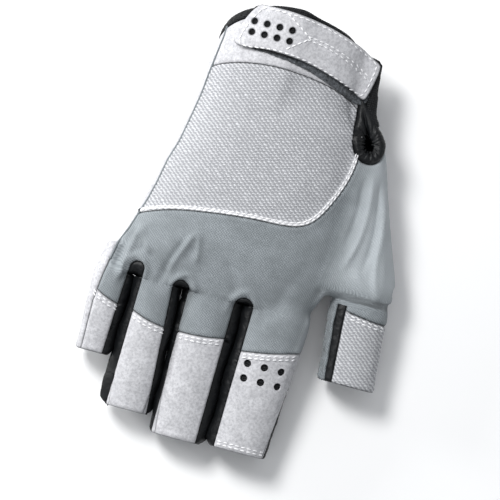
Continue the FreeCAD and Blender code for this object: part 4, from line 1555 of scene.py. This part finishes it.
def evenly(line, step):
    """Points along a plan line at even steps, with the direction at each."""
    points = np.array(line, float)
    lengths = np.concatenate([[0], np.cumsum(np.hypot(*np.diff(points, axis=0).T))])
    count = int((lengths[-1] - step * 0.5) / step) + 1
    places = step * 0.5 + step * np.arange(count)
    x, y = [np.interp(places, lengths, points[:, k]) for k in (0, 1)]
    dx, dy = [np.interp(places + 0.2, lengths, points[:, k]) - np.interp(places - 0.2, lengths, points[:, k])
              for k in (0, 1)]
    return [(Vector((a, b, 0)), Vector((c, d, 0))) for a, b, c, d in zip(x, y, dx, dy)]


def sew(piece, line, surface, raised, rng):
    """Adds one row of stitches along a plan line."""
    for place, heading in evenly(line, STITCH + STITCH_GAP):
        hit, out, _, _ = surface.ray_cast(place + Vector((0, 0, 90)), Vector((0, 0, -1)))
        if hit is None or out.z < 0.25 or heading.length < 1e-6:
            continue
        forward = (heading - out * heading.dot(out)).normalized()
        turn = Matrix((forward, out.cross(forward), out)).transposed().to_4x4()
        turn = turn @ Matrix.Rotation(rng.uniform(-0.10, 0.10), 4, "Z")
        size = Matrix.Diagonal((STITCH_WIDTH * 0.42, STITCH_WIDTH / 2, STITCH / 2 * rng.uniform(0.92, 1.06), 1.0))
        upright = Matrix.Rotation(math.pi / 2, 4, "Y")
        bmesh.ops.create_uvsphere(piece, u_segments=6, v_segments=5, radius=1.0,
                                  matrix=Matrix.Translation(hit + out * raised) @ turn @ upright @ size)


def cuff_line(finger, drop):
    """A line along a stall's cuff seam, moved towards the finger's end."""
    (outer, inner), _, (outer_y, inner_y) = STALL_SEAMS[finger]
    share = np.linspace(0.04, 0.96, 15)
    line_y = outer_y + (inner_y - outer_y) * share - BOW * np.sin(np.pi * share) - drop
    return list(zip(outer + (inner - outer) * share, line_y))


def threads(name, rows, body, surface=skin_surface, raised=0.30):
    """All the stitches of one body, as one piece."""
    rng = random.Random(sum(name.encode()))
    piece = bmesh.new()
    for line in rows:
        sew(piece, line, surface, raised, rng)
    made(piece, name, THREAD, [], body=body, edge=np.full(len(piece.verts), 5.0), thickness=0,
         table=hand_table)


# %% Rows of stitches
knit_low = rounded(KNIT_CORNER + KNIT_BELLY[:-1])
knit_low = [(x, y) for x, y in knit_low if side_seam_x(y) + 0.6 < x and y < 36.0]
threads("hand_thread", [offset_line(knit_low, -0.55), offset_line(knit_low, -1.45)], "hand", raised=0.62)
for finger in FINGERS:
    rows = [cuff_line(finger, 1.1), cuff_line(finger, 2.5)]
    if finger == "index":
        end = stall_ends[finger] + 3.6
        rows += [[(9.8, end), (30.6, end)], [(9.8, end - 1.3), (30.6, end - 1.3)]]
    threads(f"{finger}_thread", rows, finger)
thumb_top = [(50.4, -38.7), THUMB_CUFF_SEAM[3], (66.0, -40.4)]
threads("thumb_thread", [[(x, y - 1.0) for x, y in thumb_top], [(x, y - 2.3) for x, y in thumb_top]], "thumb")
CHEVRON = [(-7.6, 74.8), (4.2, 66.8), (-5.6, 59.2)]
STRAP_MIDDLE = rounded([(2.6, 66.9), (12.0, 66.0), (22.0, 62.8), (31.6, 58.0)])
border = rounded([((x - 5.0) * 0.965 + 5.0, (y - 64.0) * 0.90 + 64.0) for x, y in STRAP], rounds=2, closed=True)
middle_rows = [offset_line(STRAP_MIDDLE, side) for side in (0.7, -0.7)]
threads("strap_thread", [border + border[:1], CHEVRON] + middle_rows, "strap", surface=strap_tree, raised=0.2)

# %% [markdown]
# ## Piping
#
# A round cord in a fold of stretch cloth is sewn into the seam on the little finger's side. A curve is laid
# along the seam and its round sweep becomes the mesh.

# %% Piping
PIPING_R = 0.5
curve = bpy.data.curves.new("piping_path", "CURVE")
curve.dimensions = "3D"
curve.bevel_depth = PIPING_R
curve.bevel_resolution = 2
path = [(side_seam_x(y) + 0.1, y) for y in np.arange(64.0, -44.0, -1.5)]
hits = [skin_surface.ray_cast(Vector((x, y, 90)), Vector((0, 0, -1)))[0] for x, y in path]
hits = [hit for hit in hits if hit]
spline = curve.splines.new("POLY")
spline.points.add(len(hits) - 1)
for point, hit in zip(spline.points, hits):
    point.co = (*hit, 1.0)
sweep = bpy.data.objects.new("piping_path", curve)
scene.collection.objects.link(sweep)
swept = bpy.data.meshes.new_from_object(sweep.evaluated_get(bpy.context.evaluated_depsgraph_get()))
bpy.data.objects.remove(sweep)
piece = bmesh.new()
piece.from_mesh(swept)
# An edge of 0.35 mm everywhere mixes part of the stretch cloth's seam colour over the whole cord, so it is darker
# than the cloth beside it.
made(piece, "edge_piping", STRETCH, ["side_piping"], edge=np.full(len(piece.verts), 0.35), thickness=0)
